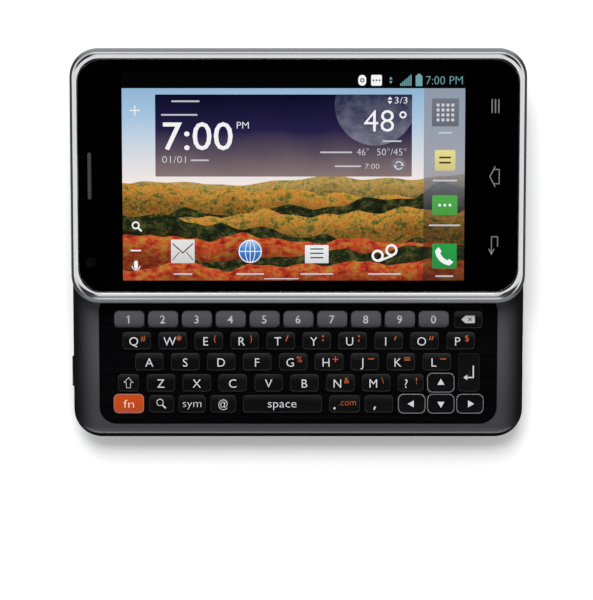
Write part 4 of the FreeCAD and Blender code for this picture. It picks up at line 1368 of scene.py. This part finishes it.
    def status(self) -> None:
        """Signal, battery and clock signs at the right end of the status bar."""
        y = (self.bar_bottom + WINDOW[3]) / 2 - 0.1
        traffic, signal, cell = self.teal_x
        teal = Piece("screen_status_signs", self.heights(2))
        for step in range(self.signal_bars):
            x, foot, head = signal + step * self.signal_pitch, y - 1.4, y - 0.7 + step * self.signal_rise
            teal.slab([(x, foot), (x, head), (x + 0.3, head), (x + 0.3, foot)])
        teal.bar(cell, y - 0.1, 0.85, 1.35, 0.2, 3)
        teal.bar(cell, y + 1.4, 0.4, 0.2, 0.05, 2)
        teal.slab([(traffic - 0.4, y + 0.2), (traffic + 0.4, y + 0.2), (traffic, y + 0.9)])
        teal.slab([(traffic - 0.4, y - 0.2), (traffic, y - 0.9), (traffic + 0.4, y - 0.2)])
        teal.write(Words("7:00 PM", 36.8, y, 2.1, -0.016, 9.2))
        self.show(teal, SCREEN_TEAL)
        disc, tag = self.dots_x
        white = Piece("screen_status_dots", self.heights(2))
        white.bar(disc, y, 1.0, 1.35, 1.0, 6)
        white.bar(tag, y, 1.35, 1.35, 0.3)
        self.show(white, SCREEN_WHITE)
        dark = Piece("screen_status_marks", self.heights(3)).hoop((disc, y), 0.55, 0.3)
        for side in (-1, 0, 1):
            dark.slab(circle((tag + side * 0.75, y), 0.22, 12))
        self.show(dark, SCREEN_BAR)

    def tiles(self) -> None:
        """Plain app tiles along the bottom and down the side strip."""
        for tile in self.app_tiles:
            shade = LitShade("tile_" + tile.name, tile.y - tile.half_y, tile.y + tile.half_y,
                             ((0.0, tuple(c * 0.8 for c in tile.colour)), (1.0, tile.colour)))
            piece = Piece("screen_tile_" + tile.name, self.heights(2))
            self.show(piece.bar(tile.x, tile.y, tile.half_x, tile.half_y, tile.corner), shade)
        x, y, half = ROW_X[1], ROW_Y, self.round_half
        blue = LitShade("tile_globe", y - half, y + half, GLOBE_STOPS)
        self.show(Piece("screen_tile_globe", self.heights(2)).slab(circle((x, y), half, 40)), blue)
        dot = Piece("dot", (0.0, self.sheet)).bar(0.0, 0.0, 0.36, 0.36, 0.1, 3).finish(SCREEN_PALE)
        grid = REPEAT.make("screen_grid_dots", dot, SCREEN_PALE, 4, 4, (1.24, 1.24),
                           (COLUMN_X, COLUMN_Y[0], self.heights(3)[0]))
        seat(grid, Body.DISPLAY, "display")

    def dark_signs(self) -> None:
        """Folds of the letter, and lines on the two pale tiles."""
        x, y = ROW_X[0], ROW_Y
        dark = Piece("screen_signs_dark", self.heights(3))
        dark.stroke([(x - 2.6, y + 2.0), (x, y - 0.4), (x + 2.6, y + 2.0)], 0.28)
        dark.stroke([(x - 2.6, y - 2.2), (x - 0.9, y - 0.2)], 0.2)
        dark.stroke([(x + 0.9, y - 0.2), (x + 2.6, y - 2.2)], 0.2)
        x = ROW_X[2]
        dark.stroke(circle((x, y + 1.5), 1.2, 14, 0.0, 180.0), 0.22)
        for row in range(3):
            dark.bar(x, y + 0.6 - row * 1.1, 1.7, 0.16, 0.1, 3)
        for row in range(2):
            dark.bar(COLUMN_X, COLUMN_Y[1] + 0.7 - row * 1.3, 1.5, 0.22, 0.1, 3)
        self.show(dark, SCREEN_DARK_SIGN)

    def pale_signs(self) -> None:
        """Globe lines, joined rings, three dots and a handset on their tiles."""
        x, y, half = ROW_X[1], ROW_Y, self.round_half
        pale = Piece("screen_signs_pale", self.heights(3)).hoop((x, y), half - 0.05, half - 0.3)
        pale.bar(x, y, half - 0.2, 0.11, 0.08, 2)
        for squeeze in (0.42, -0.42, 0.001):
            oval = [((px - x) * squeeze + x, py) for px, py in circle((x, y), half - 0.15, 24, 90.0, 180.0)]
            pale.stroke(oval if squeeze > 0 else oval[::-1], 0.2)
        x = ROW_X[3]
        for side in (-1, 1):
            pale.hoop((x + side * 1.75, y - 0.4 + side * 0.7), 1.55, 0.95, 28)
        pale.stroke([(x - 1.5, y - 2.5), (x + 2.0, y - 1.1)], 0.5)
        for side in (-1, 0, 1):
            pale.slab(circle((COLUMN_X + side * 1.3, COLUMN_Y[2]), 0.36, 12))
        pale.slab(self.handset(COLUMN_X, COLUMN_Y[3]))
        self.show(pale, SCREEN_WHITE)

    @staticmethod
    def handset(x: float, y: float) -> list[Point]:
        """Outline of a plain telephone handset about a middle.

        Args:
            x: Its middle.
            y: Its middle.

        Returns:
            The points, anticlockwise.
        """
        outer = circle((x + 1.75, y + 1.75), 4.15, 14, 186.0, 78.0)
        inner = circle((x + 1.75, y + 1.75), 2.95, 14, 196.0, 58.0)
        ear, mouth = shifted(((-0.65, 1.1), (-1.5, 2.3)), x, y), shifted(((2.3, -1.5), (1.1, -0.65)), x, y)
        return outer + mouth + inner[::-1] + ear

    def bars(self) -> None:
        """Bar below each tile, and the thin line of the page."""
        bars = Piece("screen_label_bars", self.heights(3))
        for x, half in zip(ROW_X, (2.4, 3.5, 4.2, 4.2)):
            self.line(bars, x, 9.95, half)
        for y, half in zip(COLUMN_Y, (1.7, 3.1, 4.0, 2.3)):
            self.line(bars, COLUMN_X, y - 5.1, half)
        self.show(bars, SCREEN_LINE)
        self.show(Piece("screen_page_line", self.heights(3)).bar(-4.3, 8.75, 4.4, 0.12, 0.1, 3), SCREEN_PALE)

    def edge_signs(self) -> None:
        """Plus, search, line and microphone signs at the left."""
        x = self.edge_x
        piece = Piece("screen_edge_signs", self.heights(1))
        piece.bar(x, 51.2, 1.3, 0.14, 0.1, 2)
        piece.bar(x, 51.2, 0.14, 1.3, 0.1, 2)
        piece.hoop((x, 22.3), 1.0, 0.62)
        piece.stroke([(x + 0.65, 21.6), (x + 1.5, 20.8)], 0.45)
        piece.bar(x, 15.9, 1.35, 0.18, 0.1, 2)
        piece.bar(x, 12.3, 0.5, 1.05, 0.5, 5)
        piece.stroke(circle((x, 12.0), 1.0, 12, 180.0, 180.0), 0.22)
        self.show(piece, SCREEN_WHITE)


# ------------------------------------------------------------------------------------- keys
class Paint(Enum):
    """Colours of the key caps."""

    BLACK = (BLACK_KEY, "black_key")
    ORANGE = (ORANGE_KEY, "orange_key")


@dataclass
class Cap:
    """One key cap: crowned towards its back edge, with soft edges."""

    x: float
    y: float
    half_x: float
    half_y: float
    low: float
    high: float
    corner: float = 0.85
    fall: float = 0.46              # how far the back edge lies below the middle
    front_fall: float = 0.0         # how far the front edge lies below the middle
    bend: float = 1.3               # power of the fall
    soft: float = 0.06              # rounding of the upper edge

    def top(self, y: float) -> float:
        """Height of the cap's top at a place along y.

        Args:
            y: The place.

        Returns:
            The height.
        """
        behind = min(max((y - self.y) / self.half_y, 0.0), 1.0)
        ahead = min(max((self.y - y) / self.half_y, 0.0), 1.0)
        return self.high - self.fall * behind ** self.bend - self.front_fall * ahead ** 2

    def outline(self, inset: float) -> list[Point]:
        """The cap's outline, some way in from its edge."""
        return rounded_loop(self.half_x - inset, self.half_y - inset, self.corner - inset * 0.7, (self.x, self.y), 6, 6)

    def loops(self) -> list[list[Point3]]:
        """Loops of the cap from its underside to the middle of its top.

        Returns:
            The loops, from the underside up and inwards.
        """
        stations = [(0.0, self.soft)] + soft_edge(self.soft, (30, 55, 78))
        stations += [(self.soft + step, 0.0) for step in (0.04, 0.15, 0.35, 0.7, 1.15)]
        last = min(self.half_x, self.half_y) - 0.25
        stations = [s for s in stations if s[0] < last] + [(last, 0.0)]
        return [level(self.outline(0.0), self.low)] + [
            [(x, y, self.top(y) - below) for x, y in self.outline(inset)] for inset, below in stations]

    def rim(self, width: float = 0.08, soft: float = 0.03) -> list[list[Point3]]:
        """Loops of a raised line round the cap's upper edge.

        Args:
            width: Width of the line.
            soft: How far it stands out of the cap's side.

        Returns:
            The loops, from the outside in.
        """
        profile = ((0.0, -0.3), (-soft, -0.2), (0.04, -0.03), (width * 0.6, 0.03), (width + 0.04, 0.0),
                   (width + 0.04, -0.3))
        return [[(x, y, self.top(y) + above) for x, y in self.outline(inset)] for inset, above in profile]


SIGNS = dict(zip("qwertyuiopghjklnm", "#*()/:;'\"$%+-=-&\\"))        # upper sign of a letter key
BARS = {"-": (0.0,), "=": (0.26, -0.26)}                            # heights of the bars of a sign
SLANTS = {"'": (0.1,), "\"": (-0.25, 0.4), "/": (0.0,)}             # places of its slanted lines
DOTS = {":": (0.5, -0.5), ";": (0.5,)}                              # heights of its dots
ARMS = {"+": 4, "*": 6}                                             # arms of a star


@dataclass
class Keyboard:
    """Key caps with their legends."""

    lift: float = 0.012             # legend above the cap
    main_left: float = -0.78        # main letter beside an upper sign
    sign_line: float = 0.25
    sign_place: Point = (1.62, 0.62)
    sign_cap: float = 1.5
    cap_smooth: float = 50.0
    folds: Sequence[float] = (0.05, 0.2, 0.35, 0.5, 0.7)            # where a legend bends, in shares of the cap
    front_folds: Sequence[float] = (-0.1, -0.25, -0.4, -0.55, -0.7)
    one_flag: Sequence[Point] = ((-0.12, 0.9), (-0.66, 0.48))       # slanted head of the digit 1
    tag: Sequence[Point] = ((-1.75, 0.0), (-0.75, -0.95), (1.7, -0.95), (1.7, 0.95), (-0.75, 0.95))
    shift_arrow: Sequence[Point] = ((1.15, 0.1), (0.55, 0.1), (0.55, -1.3), (-0.55, -1.3), (-0.55, 0.1),
                                    (-1.15, 0.1), (0.0, 1.3))

    def build(self) -> None:
        """Make every cap and legend."""
        self.number_row()
        for letter in "qwertyuiopasdfghjklzxcvbnm":
            self.letter_key(letter)
        self.edit_keys()
        self.arrow_keys()
        self.symbol_keys()
        self.front_keys()

    def flat(self, name: str) -> Piece:
        """Empty piece for a legend."""
        return Piece(name, (-self.lift, self.lift))

    def letter_key(self, letter: str) -> None:
        """One letter key with its legend and its upper sign.

        Args:
            letter: The letter, as in the name of its CAD node.
        """
        node = "key_" + letter
        sign = SIGNS.get(letter)
        cap, = self.cover(node, Paint.BLACK)
        self.legend(node, cap, WHITE_LEGEND, Words(letter.upper(), self.main_left if sign else 0.0))
        if sign:
            piece = self.flat("sign_" + node)
            self.sign(piece, sign, cap.x + self.sign_place[0], cap.y + self.sign_place[1])
            self.lay(piece, [cap], ORANGE_LEGEND, node)

    def sign(self, piece: Piece, sign: str, x: float, y: float) -> None:
        """Upper sign of a key: bars and dots are drawn, the others are letters.

        Args:
            piece: Piece that it is added to.
            sign: Which sign.
            x: Its middle.
            y: Its middle.
        """
        for up in BARS.get(sign, ()):
            piece.bar(x, y + 0.1 + up, 0.78, self.sign_line / 2, 0.05, 2)
        for along in SLANTS.get(sign, ()):
            half = 0.75 if sign == "/" else 0.5
            piece.stroke([(x + along - half * 0.4, y - half), (x + along + half * 0.4, y + half)], self.sign_line)
        for up in DOTS.get(sign, ()):
            piece.slab(circle((x, y + up), 0.24, 12))
        if sign == ";":
            piece.stroke([(x + 0.06, y - 0.3), (x - 0.16, y - 0.9)], self.sign_line)
        if sign in ARMS:
            piece.slab(self.star((x, y), ARMS[sign], 0.74, self.sign_line * 0.8))
        if not any(sign in drawn for drawn in (BARS, SLANTS, DOTS, ARMS)):
            piece.write(Words(sign, x, y, self.sign_cap))

    @staticmethod
    def star(centre: Point, arms: int, reach: float, width: float) -> list[Point]:
        """Outline of crossed bars.

        Args:
            centre: Their middle.
            arms: Arms round the middle.
            reach: Length of an arm.
            width: Width of an arm.

        Returns:
            The points, anticlockwise.
        """
        points = []
        inner = width / 2 / math.sin(math.pi / arms)
        for arm in range(arms):
            angle = 2 * math.pi * arm / arms + math.pi / 2
            along = Vector((math.cos(angle), math.sin(angle)))
            across = Vector((-along.y, along.x)) * width / 2
            points += [tuple(Vector(centre) + along * reach + across * side) for side in (-1, 1)]
            points += circle(centre, inner, 1, math.degrees(angle + math.pi / arms), 1.0)[:1]
        return points

    @staticmethod
    def caps(node: str) -> list[Cap]:
        """Caps of a CAD node, from the left, one for each of its solids.

        Args:
            node: Name of the CAD node.

        Returns:
            The caps.
        """
        copy = merged(node)
        left = set(copy.verts)
        caps = []
        while left:
            seen, edge = set(), [left.pop()]
            while edge:
                vert = edge.pop()
                seen.add(vert)
                edge += [e.other_vert(vert) for e in vert.link_edges if e.other_vert(vert) not in seen]
            left -= seen
            spans = [[v.co[axis] / MM for v in seen] for axis in range(3)]
            (x0, x1), (y0, y1), (low, high) = ((min(span), max(span)) for span in spans)
            caps.append(Cap((x0 + x1) / 2, (y0 + y1) / 2, (x1 - x0) / 2, (y1 - y0) / 2, low, high))
        copy.free()
        return sorted(caps, key=lambda cap: (round(cap.x, 2), cap.y))

    def cover(self, node: str, paint: Paint, **shape: float) -> list[Cap]:
        """Make the caps of one node and let them stand for it.

        Args:
            node: The CAD node.
            paint: Colour of its caps.
            **shape: Fields of the caps that differ from the usual ones.

        Returns:
            The caps, from the left.
        """
        finish, slot = paint.value
        caps = [replace(cap, **shape) for cap in self.caps(node)]
        piece = Piece("cap_" + node)
        for cap in caps:
            piece.loft(cap.loops())
        seat(piece.finish(finish, self.cap_smooth), node, slot, node)
        return caps

    def outlined(self, node: str, caps: Sequence[Cap], finish: Finish) -> None:
        """Draw a pale line round the upper edge of some caps.

        Args:
            node: The CAD node of the caps.
            caps: The caps.
            finish: Finish of the line.
        """
        piece = Piece("outline_" + node)
        for cap in caps:
            piece.loft(cap.rim(), ring=True)
        seat(piece.finish(finish), node, "black_key")

    def legend(self, node: str, cap: Cap, finish: Finish, words: Words) -> None:
        """Write on one cap."""
        self.lay(self.flat("legend_" + node).write(words, (cap.x, cap.y)), [cap], finish, node)

    def lay(self, piece: Piece, caps: Sequence[Cap], finish: Finish, node: str) -> None:
        """Lay flat signs on their caps and seat them.

        Args:
            piece: The signs, drawn level.
            caps: The caps under them.
            finish: Finish of the signs.
            node: The CAD node of the caps.
        """
        def height(x: float, y: float) -> float:
            """Top of the cap that is nearest."""
            return min(caps, key=lambda cap: abs(x - cap.x) / cap.half_x + abs(y - cap.y) / cap.half_y).top(y)
        shares = (*self.folds, *(self.front_folds if caps[0].front_fall else ()))
        lines = sorted({round(cap.y + cap.half_y * share, 3) for cap in caps for share in shares})
        seat(piece.drape(height, lines).finish(finish), node, "black_key")

    def number_row(self) -> None:
        """Ten grey caps of one shape, with their digits."""
        node = "number_keys"
        caps = [replace(cap, corner=1.3, soft=0.16, front_fall=0.6) for cap in self.caps(node)]
        first, last = caps[0], caps[-1]
        # grey cap paint with painted shade and highlight across each cap
        paint = PaintedShadeCap("key_grey", first.y - first.half_y, first.y + first.half_y, GREY_KEY_SHADE_STOPS)
        shape = Piece("number_cap").loft(replace(first, x=0.0, y=0.0).loops()).finish(paint, self.cap_smooth)
        pitch = (last.x - first.x) / (len(caps) - 1)
        row = REPEAT.make("cap_" + node, shape, paint, len(caps), 1, (pitch, 0.0),
                          ((first.x + last.x) / 2, first.y, 0.0))
        seat(row, node, "grey_key", node)
        digits = self.flat("legend_" + node)
        for digit, cap in zip("1234567890", caps):
            digits.write(Words(digit, -0.1, 0.0, 2.0, 0.006), (cap.x, cap.y))
        digits.stroke(shifted(self.one_flag, first.x, first.y), 0.24)
        self.lay(digits, caps, PALE_LEGEND, node)

    def edit_keys(self) -> None:
        """Backspace tag and the bent arrow of the tall enter key."""
        node = "edit_keys"
        caps = self.cover(node, Paint.BLACK)
        back, enter = sorted(caps, key=lambda cap: cap.half_y)
        x, y = enter.x + 0.1, enter.y
        piece = self.flat("legend_" + node).slab(shifted(self.tag, back.x, back.y))
        piece.stroke([(x + 1.05, y + 1.7), (x + 1.05, y - 1.35), (x - 0.6, y - 1.35)], 0.32)
        piece.slab([(x - 1.5, y - 1.35), (x - 0.5, y - 2.05), (x - 0.5, y - 0.65)])
        self.lay(piece, caps, WHITE_LEGEND, node)
        cross = Piece("sign_" + node, (0.0, self.lift * 2))
        for turn in (1, -1):
            cross.stroke(shifted(((-0.4, -0.4 * turn), (0.4, 0.4 * turn)), back.x + 0.45, back.y), 0.2)
        self.lay(cross, caps, BLACK_KEY, node)

    def arrow_keys(self) -> None:
        """Four keys with a pale outline and a triangle each."""
        node = "arrow_keys"
        caps = self.cover(node, Paint.BLACK, corner=1.4, fall=0.3)
        left, right = caps[0], caps[-1]
        down, up = sorted(caps[1:3], key=lambda cap: cap.y)
        signs = self.flat("legend_" + node)
        for cap, way in ((left, 180.0), (right, 0.0), (down, 270.0), (up, 90.0)):
            signs.slab(circle((cap.x, cap.y), 1.05, 3, way))
        self.lay(signs, caps, WHITE_LEGEND, node)
        self.outlined(node, caps, OUTLINE_LEGEND)

    def symbol_keys(self) -> None:
        """Search, sym, at, full stop, comma and question mark keys."""
        node = "symbol_keys"
        caps = self.cover(node, Paint.BLACK)
        front_y = min(cap.y for cap in caps) + 1.0
        query = next(cap for cap in caps if cap.y >= front_y)
        search, sym, at, stop, comma = (cap for cap in caps if cap.y < front_y)
        white, orange = self.flat("legend_" + node), self.flat("sign_" + node)
        for piece, cap, words in ((white, sym, Words("sym", 0.0, 0.15, 2.0, -0.016, 4.8)),
                                  (white, at, Words("@", 0.0, 0.0, 2.0, -0.008, 2.4)),
                                  (white, query, Words("?", -1.15, -0.2, 2.15, 0.0)),
                                  (orange, stop, Words(".com", 0.75, 0.45, 1.75, -0.016, 4.4)),
                                  (orange, query, Words("!", 1.5, 0.5, 1.6, 0.0))):
            piece.write(words, (cap.x, cap.y))
        white.slab(circle((stop.x - 2.6, stop.y - 1.15), 0.3, 14))
        white.slab(shifted(((-1.25, -0.7), (-1.4, -1.6), (-1.1, -1.6), (-0.75, -0.7)), comma.x, comma.y))
        white.hoop((search.x - 0.35, search.y + 0.35), 0.92, 0.75)
        white.stroke(shifted(((0.3, -0.35), (1.15, -1.15)), search.x, search.y), 0.36)
        self.lay(white, caps, WHITE_LEGEND, node)
        self.lay(orange, caps, ORANGE_LEGEND, node)

    def front_keys(self) -> None:
        """Function, shift and space keys."""
        fn, = self.cover("key_fn", Paint.ORANGE, corner=1.3, fall=0.25, front_fall=0.4)
        self.legend("key_fn", fn, WARM_LEGEND, Words("fn", 0.0, 0.0, 2.1, -0.014, 2.75))
        self.outlined("key_fn", [fn], WARM_RIM)
        shift, = self.cover("key_shift", Paint.BLACK)
        arrow = self.flat("legend_key_shift").stroke(shifted(self.shift_arrow, shift.x, shift.y), 0.12, closed=True)
        self.lay(arrow, [shift], WHITE_LEGEND, "key_shift")
        space, = self.cover("key_space", Paint.BLACK)
        self.legend("key_space", space, WHITE_LEGEND, Words("space", -0.1, 0.1, 2.1, -0.01, 7.4))


# ------------------------------------------------------------------------------ slide links
@dataclass
class SlideLinks:
    """Flat cable and springs that run between the two halves."""

    film: float = 0.12              # thickness of the cable
    half_gap: float = 0.125         # from its flat run to the upper plate
    rise: Sequence[Point] = ((0.0, 0.52), (5.2, 0.52), (5.7, 0.68), (5.93, 1.1), (5.93, 2.2), (6.1, 2.55))
    fold: tuple[float, float] = (6.6, 18.6)     # places along y; the cable's flat run starts at the first
    flat_run: float = 4.0
    steps: int = 60
    plug: tuple[float, float] = (3.0, 0.45)     # length and thickness
    spring_eye: float = 2.8
    spring_smooth: float = 50.0

    def build(self) -> None:
        """Make the cable and the springs."""
        self.cable()
        self.springs()

    def cable(self) -> None:
        """Flat cable: up from the chassis floor, back between the plates, up to the display half."""
        low, high = box_of("display_flex")
        between = box_of("slide_carriage")[0].z - self.half_gap
        start, end = self.fold
        path = [(low.y + y, low.z + z) for y, z in self.rise]
        path += [(low.y + start, between), (low.y + start + self.flat_run, between)]
        (y, z), (head_y, head_z) = path[-1], (high.y, high.z - self.film)
        path += [(y + (head_y - y) * k / self.steps, z + (head_z - z) * k / self.steps)
                 for k in range(1, self.steps + 1)]
        piece = Piece("flex_film").loft(self.ribbon(path, high.x))
        length, thick = self.plug
        under = self.film / 2 + 0.01
        for y, bottom, top in ((low.y + length / 2, low.z, path[0][1] - under),
                               (high.y - length / 2, head_z - thick, head_z - under)):
            piece.low, piece.high = bottom, top
            piece.bar(0.0, y, high.x, length / 2, 0.4, 8)
        self.join(piece.finish(FLEX_AMBER), low.y + start, low.y + end, "flex_film", "display_flex")

    def ribbon(self, path: Sequence[Point], half: float) -> list[list[Point3]]:
        """Sections of a flat strip along a path of y and z.

        Args:
            path: Middle of the strip.
            half: Half its width.

        Returns:
            One loop of four points for each point of the path.
        """
        loops = []
        for before, (y, z), after in zip([path[0], *path[:-1]], path, [*path[1:], path[-1]]):
            along = Vector((after[0] - before[0], after[1] - before[1])).normalized()
            up = Vector((-along.y, along.x)) * self.film / 2
            loops.append([(x, y + up.x * side, z + up.y * side)
                          for x, side in ((-half, -1), (half, -1), (half, 1), (-half, 1))])
        return loops

    def springs(self) -> None:
        """Springs copied from the CAD node, with their eyes on the stud below and on the pin above."""
        node = "slide_springs"
        mesh = merged(node)
        data = bpy.data.meshes.new("spring_wires")
        mesh.to_mesh(data)
        mesh.free()
        data.set_sharp_from_angle(angle=math.radians(self.spring_smooth))
        data.materials.clear()
        data.materials.append(SPRING_STEEL.material())
        low, high = box_of(node)
        self.join(stand("spring_wires", data), low.y + self.spring_eye, high.y - self.spring_eye, "spring_steel",
                  node)

    @staticmethod
    def join(made: bpy.types.Object, start: float, end: float, slot: str, node: str) -> None:
        """Let a piece stand for its CAD node, with its place baked into its mesh.

        Args:
            made: The piece.
            start: Where it leaves the keyboard half; not used.
            end: Where it reaches the display half; not used.
            slot: The record's material slot; not used.
            node: CAD node that it stands for.
        """
        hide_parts(node)
        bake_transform(made)
        LOG.info("%s: %d faces", made.name, len(made.data.polygons))


# ---------------------------------------------------------------------------- carried nodes
class CarriedNodes:
    """Finishes of the CAD nodes whose shape is right as it is."""

    def build(self) -> None:
        """Give each node its finish."""
        finishes = {
            GRAPHITE: ("rear_frame",), COVER_PAINT: ("battery_cover",), DECK_GLOSS: ("deck_panel",),
            MAT_SILICONE: ("keypad_mat",), BOARD: ("key_board", "main_board"), CELL_FOIL: ("battery",),
            SOCKET_BLACK: ("rear_camera", "loudspeaker", "headset_jack", "earpiece", "front_camera",
                           "display_panel"),
            SMOKED_GLASS: ("camera_window",), SOCKET_STEEL: ("usb_port", "chassis_screws", "display_screws"),
            PLATE_STEEL: ("slide_base", "slide_carriage"), SATIN_EDGE: ("display_housing",),
            SIDE_KEY_PAINT: ("power_key", "volume_key", "camera_key")}
        for finish, nodes in finishes.items():
            for node in nodes:
                self.assign(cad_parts[node], finish.material())
                LOG.info("%s: %s", node, finish.name)

    @staticmethod
    def assign(node: bpy.types.Object, material: bpy.types.Material) -> None:
        """Put one material in all of a node's slots.

        Args:
            node: The node.
            material: The material.
        """
        if not node.material_slots:
            node.data.materials.append(material)
        for slot in node.material_slots:
            slot.material = material


# ----------------------------------------------------------------------------------- studio
@dataclass(frozen=True)
class Lamp:
    """Soft lamp that is aimed at the phone."""

    name: str
    place: Point3
    size: Point
    strength: float                 # watts
    mirrored: bool                  # a strip that only gloss shows, or a lamp that gloss doesn't show

    def hang(self) -> None:
        """Put the lamp in the scene."""
        data = bpy.data.lights.new(self.name, "AREA")
        data.shape = "RECTANGLE"
        data.size, data.size_y = (side * MM for side in self.size)
        data.energy = self.strength
        made = stand(self.name, data)
        made.location = [c * MM for c in self.place]
        made.rotation_euler = (-Vector(made.location)).to_track_quat("-Z", "Y").to_euler()
        made.visible_camera = made.visible_transmission = False
        made.visible_glossy, made.visible_diffuse = self.mirrored, not self.mirrored


@dataclass
class Studio:
    """Camera, floor, sky and soft lamps."""

    eye: Point3 = (-0.446, 24.094, 341.549)
    tilt: float = 3.6               # degrees towards the front
    lens: float = 78.0
    clip: tuple[float, float] = (0.01, 20.0)    # metres
    floor_half: float = 3000.0
    floor_glow: float = 0.1         # what the camera sees on top of the floor's own light
    floor_grey: float = 0.86
    shadow_reach: float = 110.0     # the floor turns plain white from here
    white_from: float = 420.0       # to here
    overhead: float = 0.776         # strength of the sky's light
    horizon: float = 0.224          # what is added to it round the horizon
    dark_from: Point = (0.80, 0.965)            # upward shares of a direction between which the sky darkens
    white_until: Point = (0.05, 0.25)           # and between which the white of the horizon ends
    flag_spread: Point = (0.12, 0.3)            # half width of the dark flags on the diagonals
    flag_low: Point = (0.815, 0.84)
    flag_high: Point = (0.89, 0.92)
    flag_depth: float = 0.95
    lamps: tuple[Lamp, ...] = (Lamp("lamp_back", (-60.0, 420.0, 420.0), (420.0, 420.0), 4.4, False),
                               Lamp("strip_front", (0.0, -330.0, 330.0), (900.0, 90.0), 0.95, True))

    def build(self) -> None:
        """Make the studio."""
        self.camera()
        self.floor()
        self.sky()
        for lamp in self.lamps:
            lamp.hang()
        bpy.context.scene.view_settings.view_transform = "Standard"

    def camera(self) -> None:
        """Camera that sees the phone from in front of its screen."""
        data = bpy.data.cameras.new("camera")
        data.lens, data.sensor_width = self.lens, 36.0
        data.clip_start, data.clip_end = self.clip
        made = stand("camera", data)
        made.location = [c * MM for c in self.eye]
        made.rotation_euler = (math.radians(-self.tilt), 0.0, 0.0)
        bpy.context.scene.camera = made

    def floor(self) -> None:
        """White floor that keeps the phone's shadow."""
        half = self.floor_half
        made = Piece("floor", (-1.0, -0.02)).slab([(-half, -half), (half, -half), (half, half), (-half, half)])
        material = bpy.data.materials.new("floor_white")
        shader = Shader(material)
        seen = shader.seen()
        paint = shader.value("ShaderNodeBsdfDiffuse", sockets={"Color": (*[self.floor_grey] * 3, 1.0)})
        glow = shader.value("ShaderNodeEmission", sockets={"Strength": seen * self.floor_glow})
        near = shader.value("ShaderNodeAddShader", sockets={0: paint, 1: glow})
        x, y, _ = shader.place()
        far = (x * x + y * y).smooth(self.shadow_reach ** 2, self.white_from ** 2)
        white = shader.value("ShaderNodeEmission", sockets={"Strength": 1.0})
        both = shader.value("ShaderNodeMixShader", sockets={0: seen * far, 1: near, 2: white})
        shader.node("ShaderNodeOutputMaterial", sockets={"Surface": both})
        floor = made.finish(BLACK_INK)
        floor.data.materials[0] = material

    def sky(self) -> None:
        """White round the horizon, bright above it, dark overhead."""
        world = bpy.data.worlds.new("sky")
        bpy.context.scene.world = world
        shader = Shader(world)
        way = shader.value("ShaderNodeTexCoord", output="Generated")
        split = shader.node("ShaderNodeSeparateXYZ", sockets={0: way})
        along, aside, height = (Value(shader, split.outputs[axis]) for axis in range(3))
        camera = shader.value("ShaderNodeLightPath", output="Is Camera Ray")
        overhead = 1.0 - height.smooth(*self.dark_from)
        horizon = 1.0 - height.smooth(*self.white_until)
        diagonal = 1.0 - abs(abs(along) - abs(aside)).smooth(*self.flag_spread)
        flags = diagonal * height.smooth(*self.flag_low) * (1.0 - height.smooth(*self.flag_high))
        strength = (overhead * self.overhead * (1.0 - flags * (1.0 - camera) * self.flag_depth)
                    + shader.seen() * horizon * self.horizon)
        background = shader.value("ShaderNodeBackground", sockets={"Color": with_alpha(WHITE), "Strength": strength})
        shader.node("ShaderNodeOutputWorld", sockets={"Surface": background})


REPEAT = Repeat()


def main() -> None:
    """Build every sub-assembly in order, then the studio."""
    logging.basicConfig(level=logging.INFO, format="%(name)s %(message)s")
    for part in (DisplayFront(), Screen(), Keyboard(), SlideLinks(), CarriedNodes(), Studio()):
        LOG.info("building %s", type(part).__name__)
        part.build()
    bpy.context.view_layer.update()


if __name__ == "__main__":
    main()
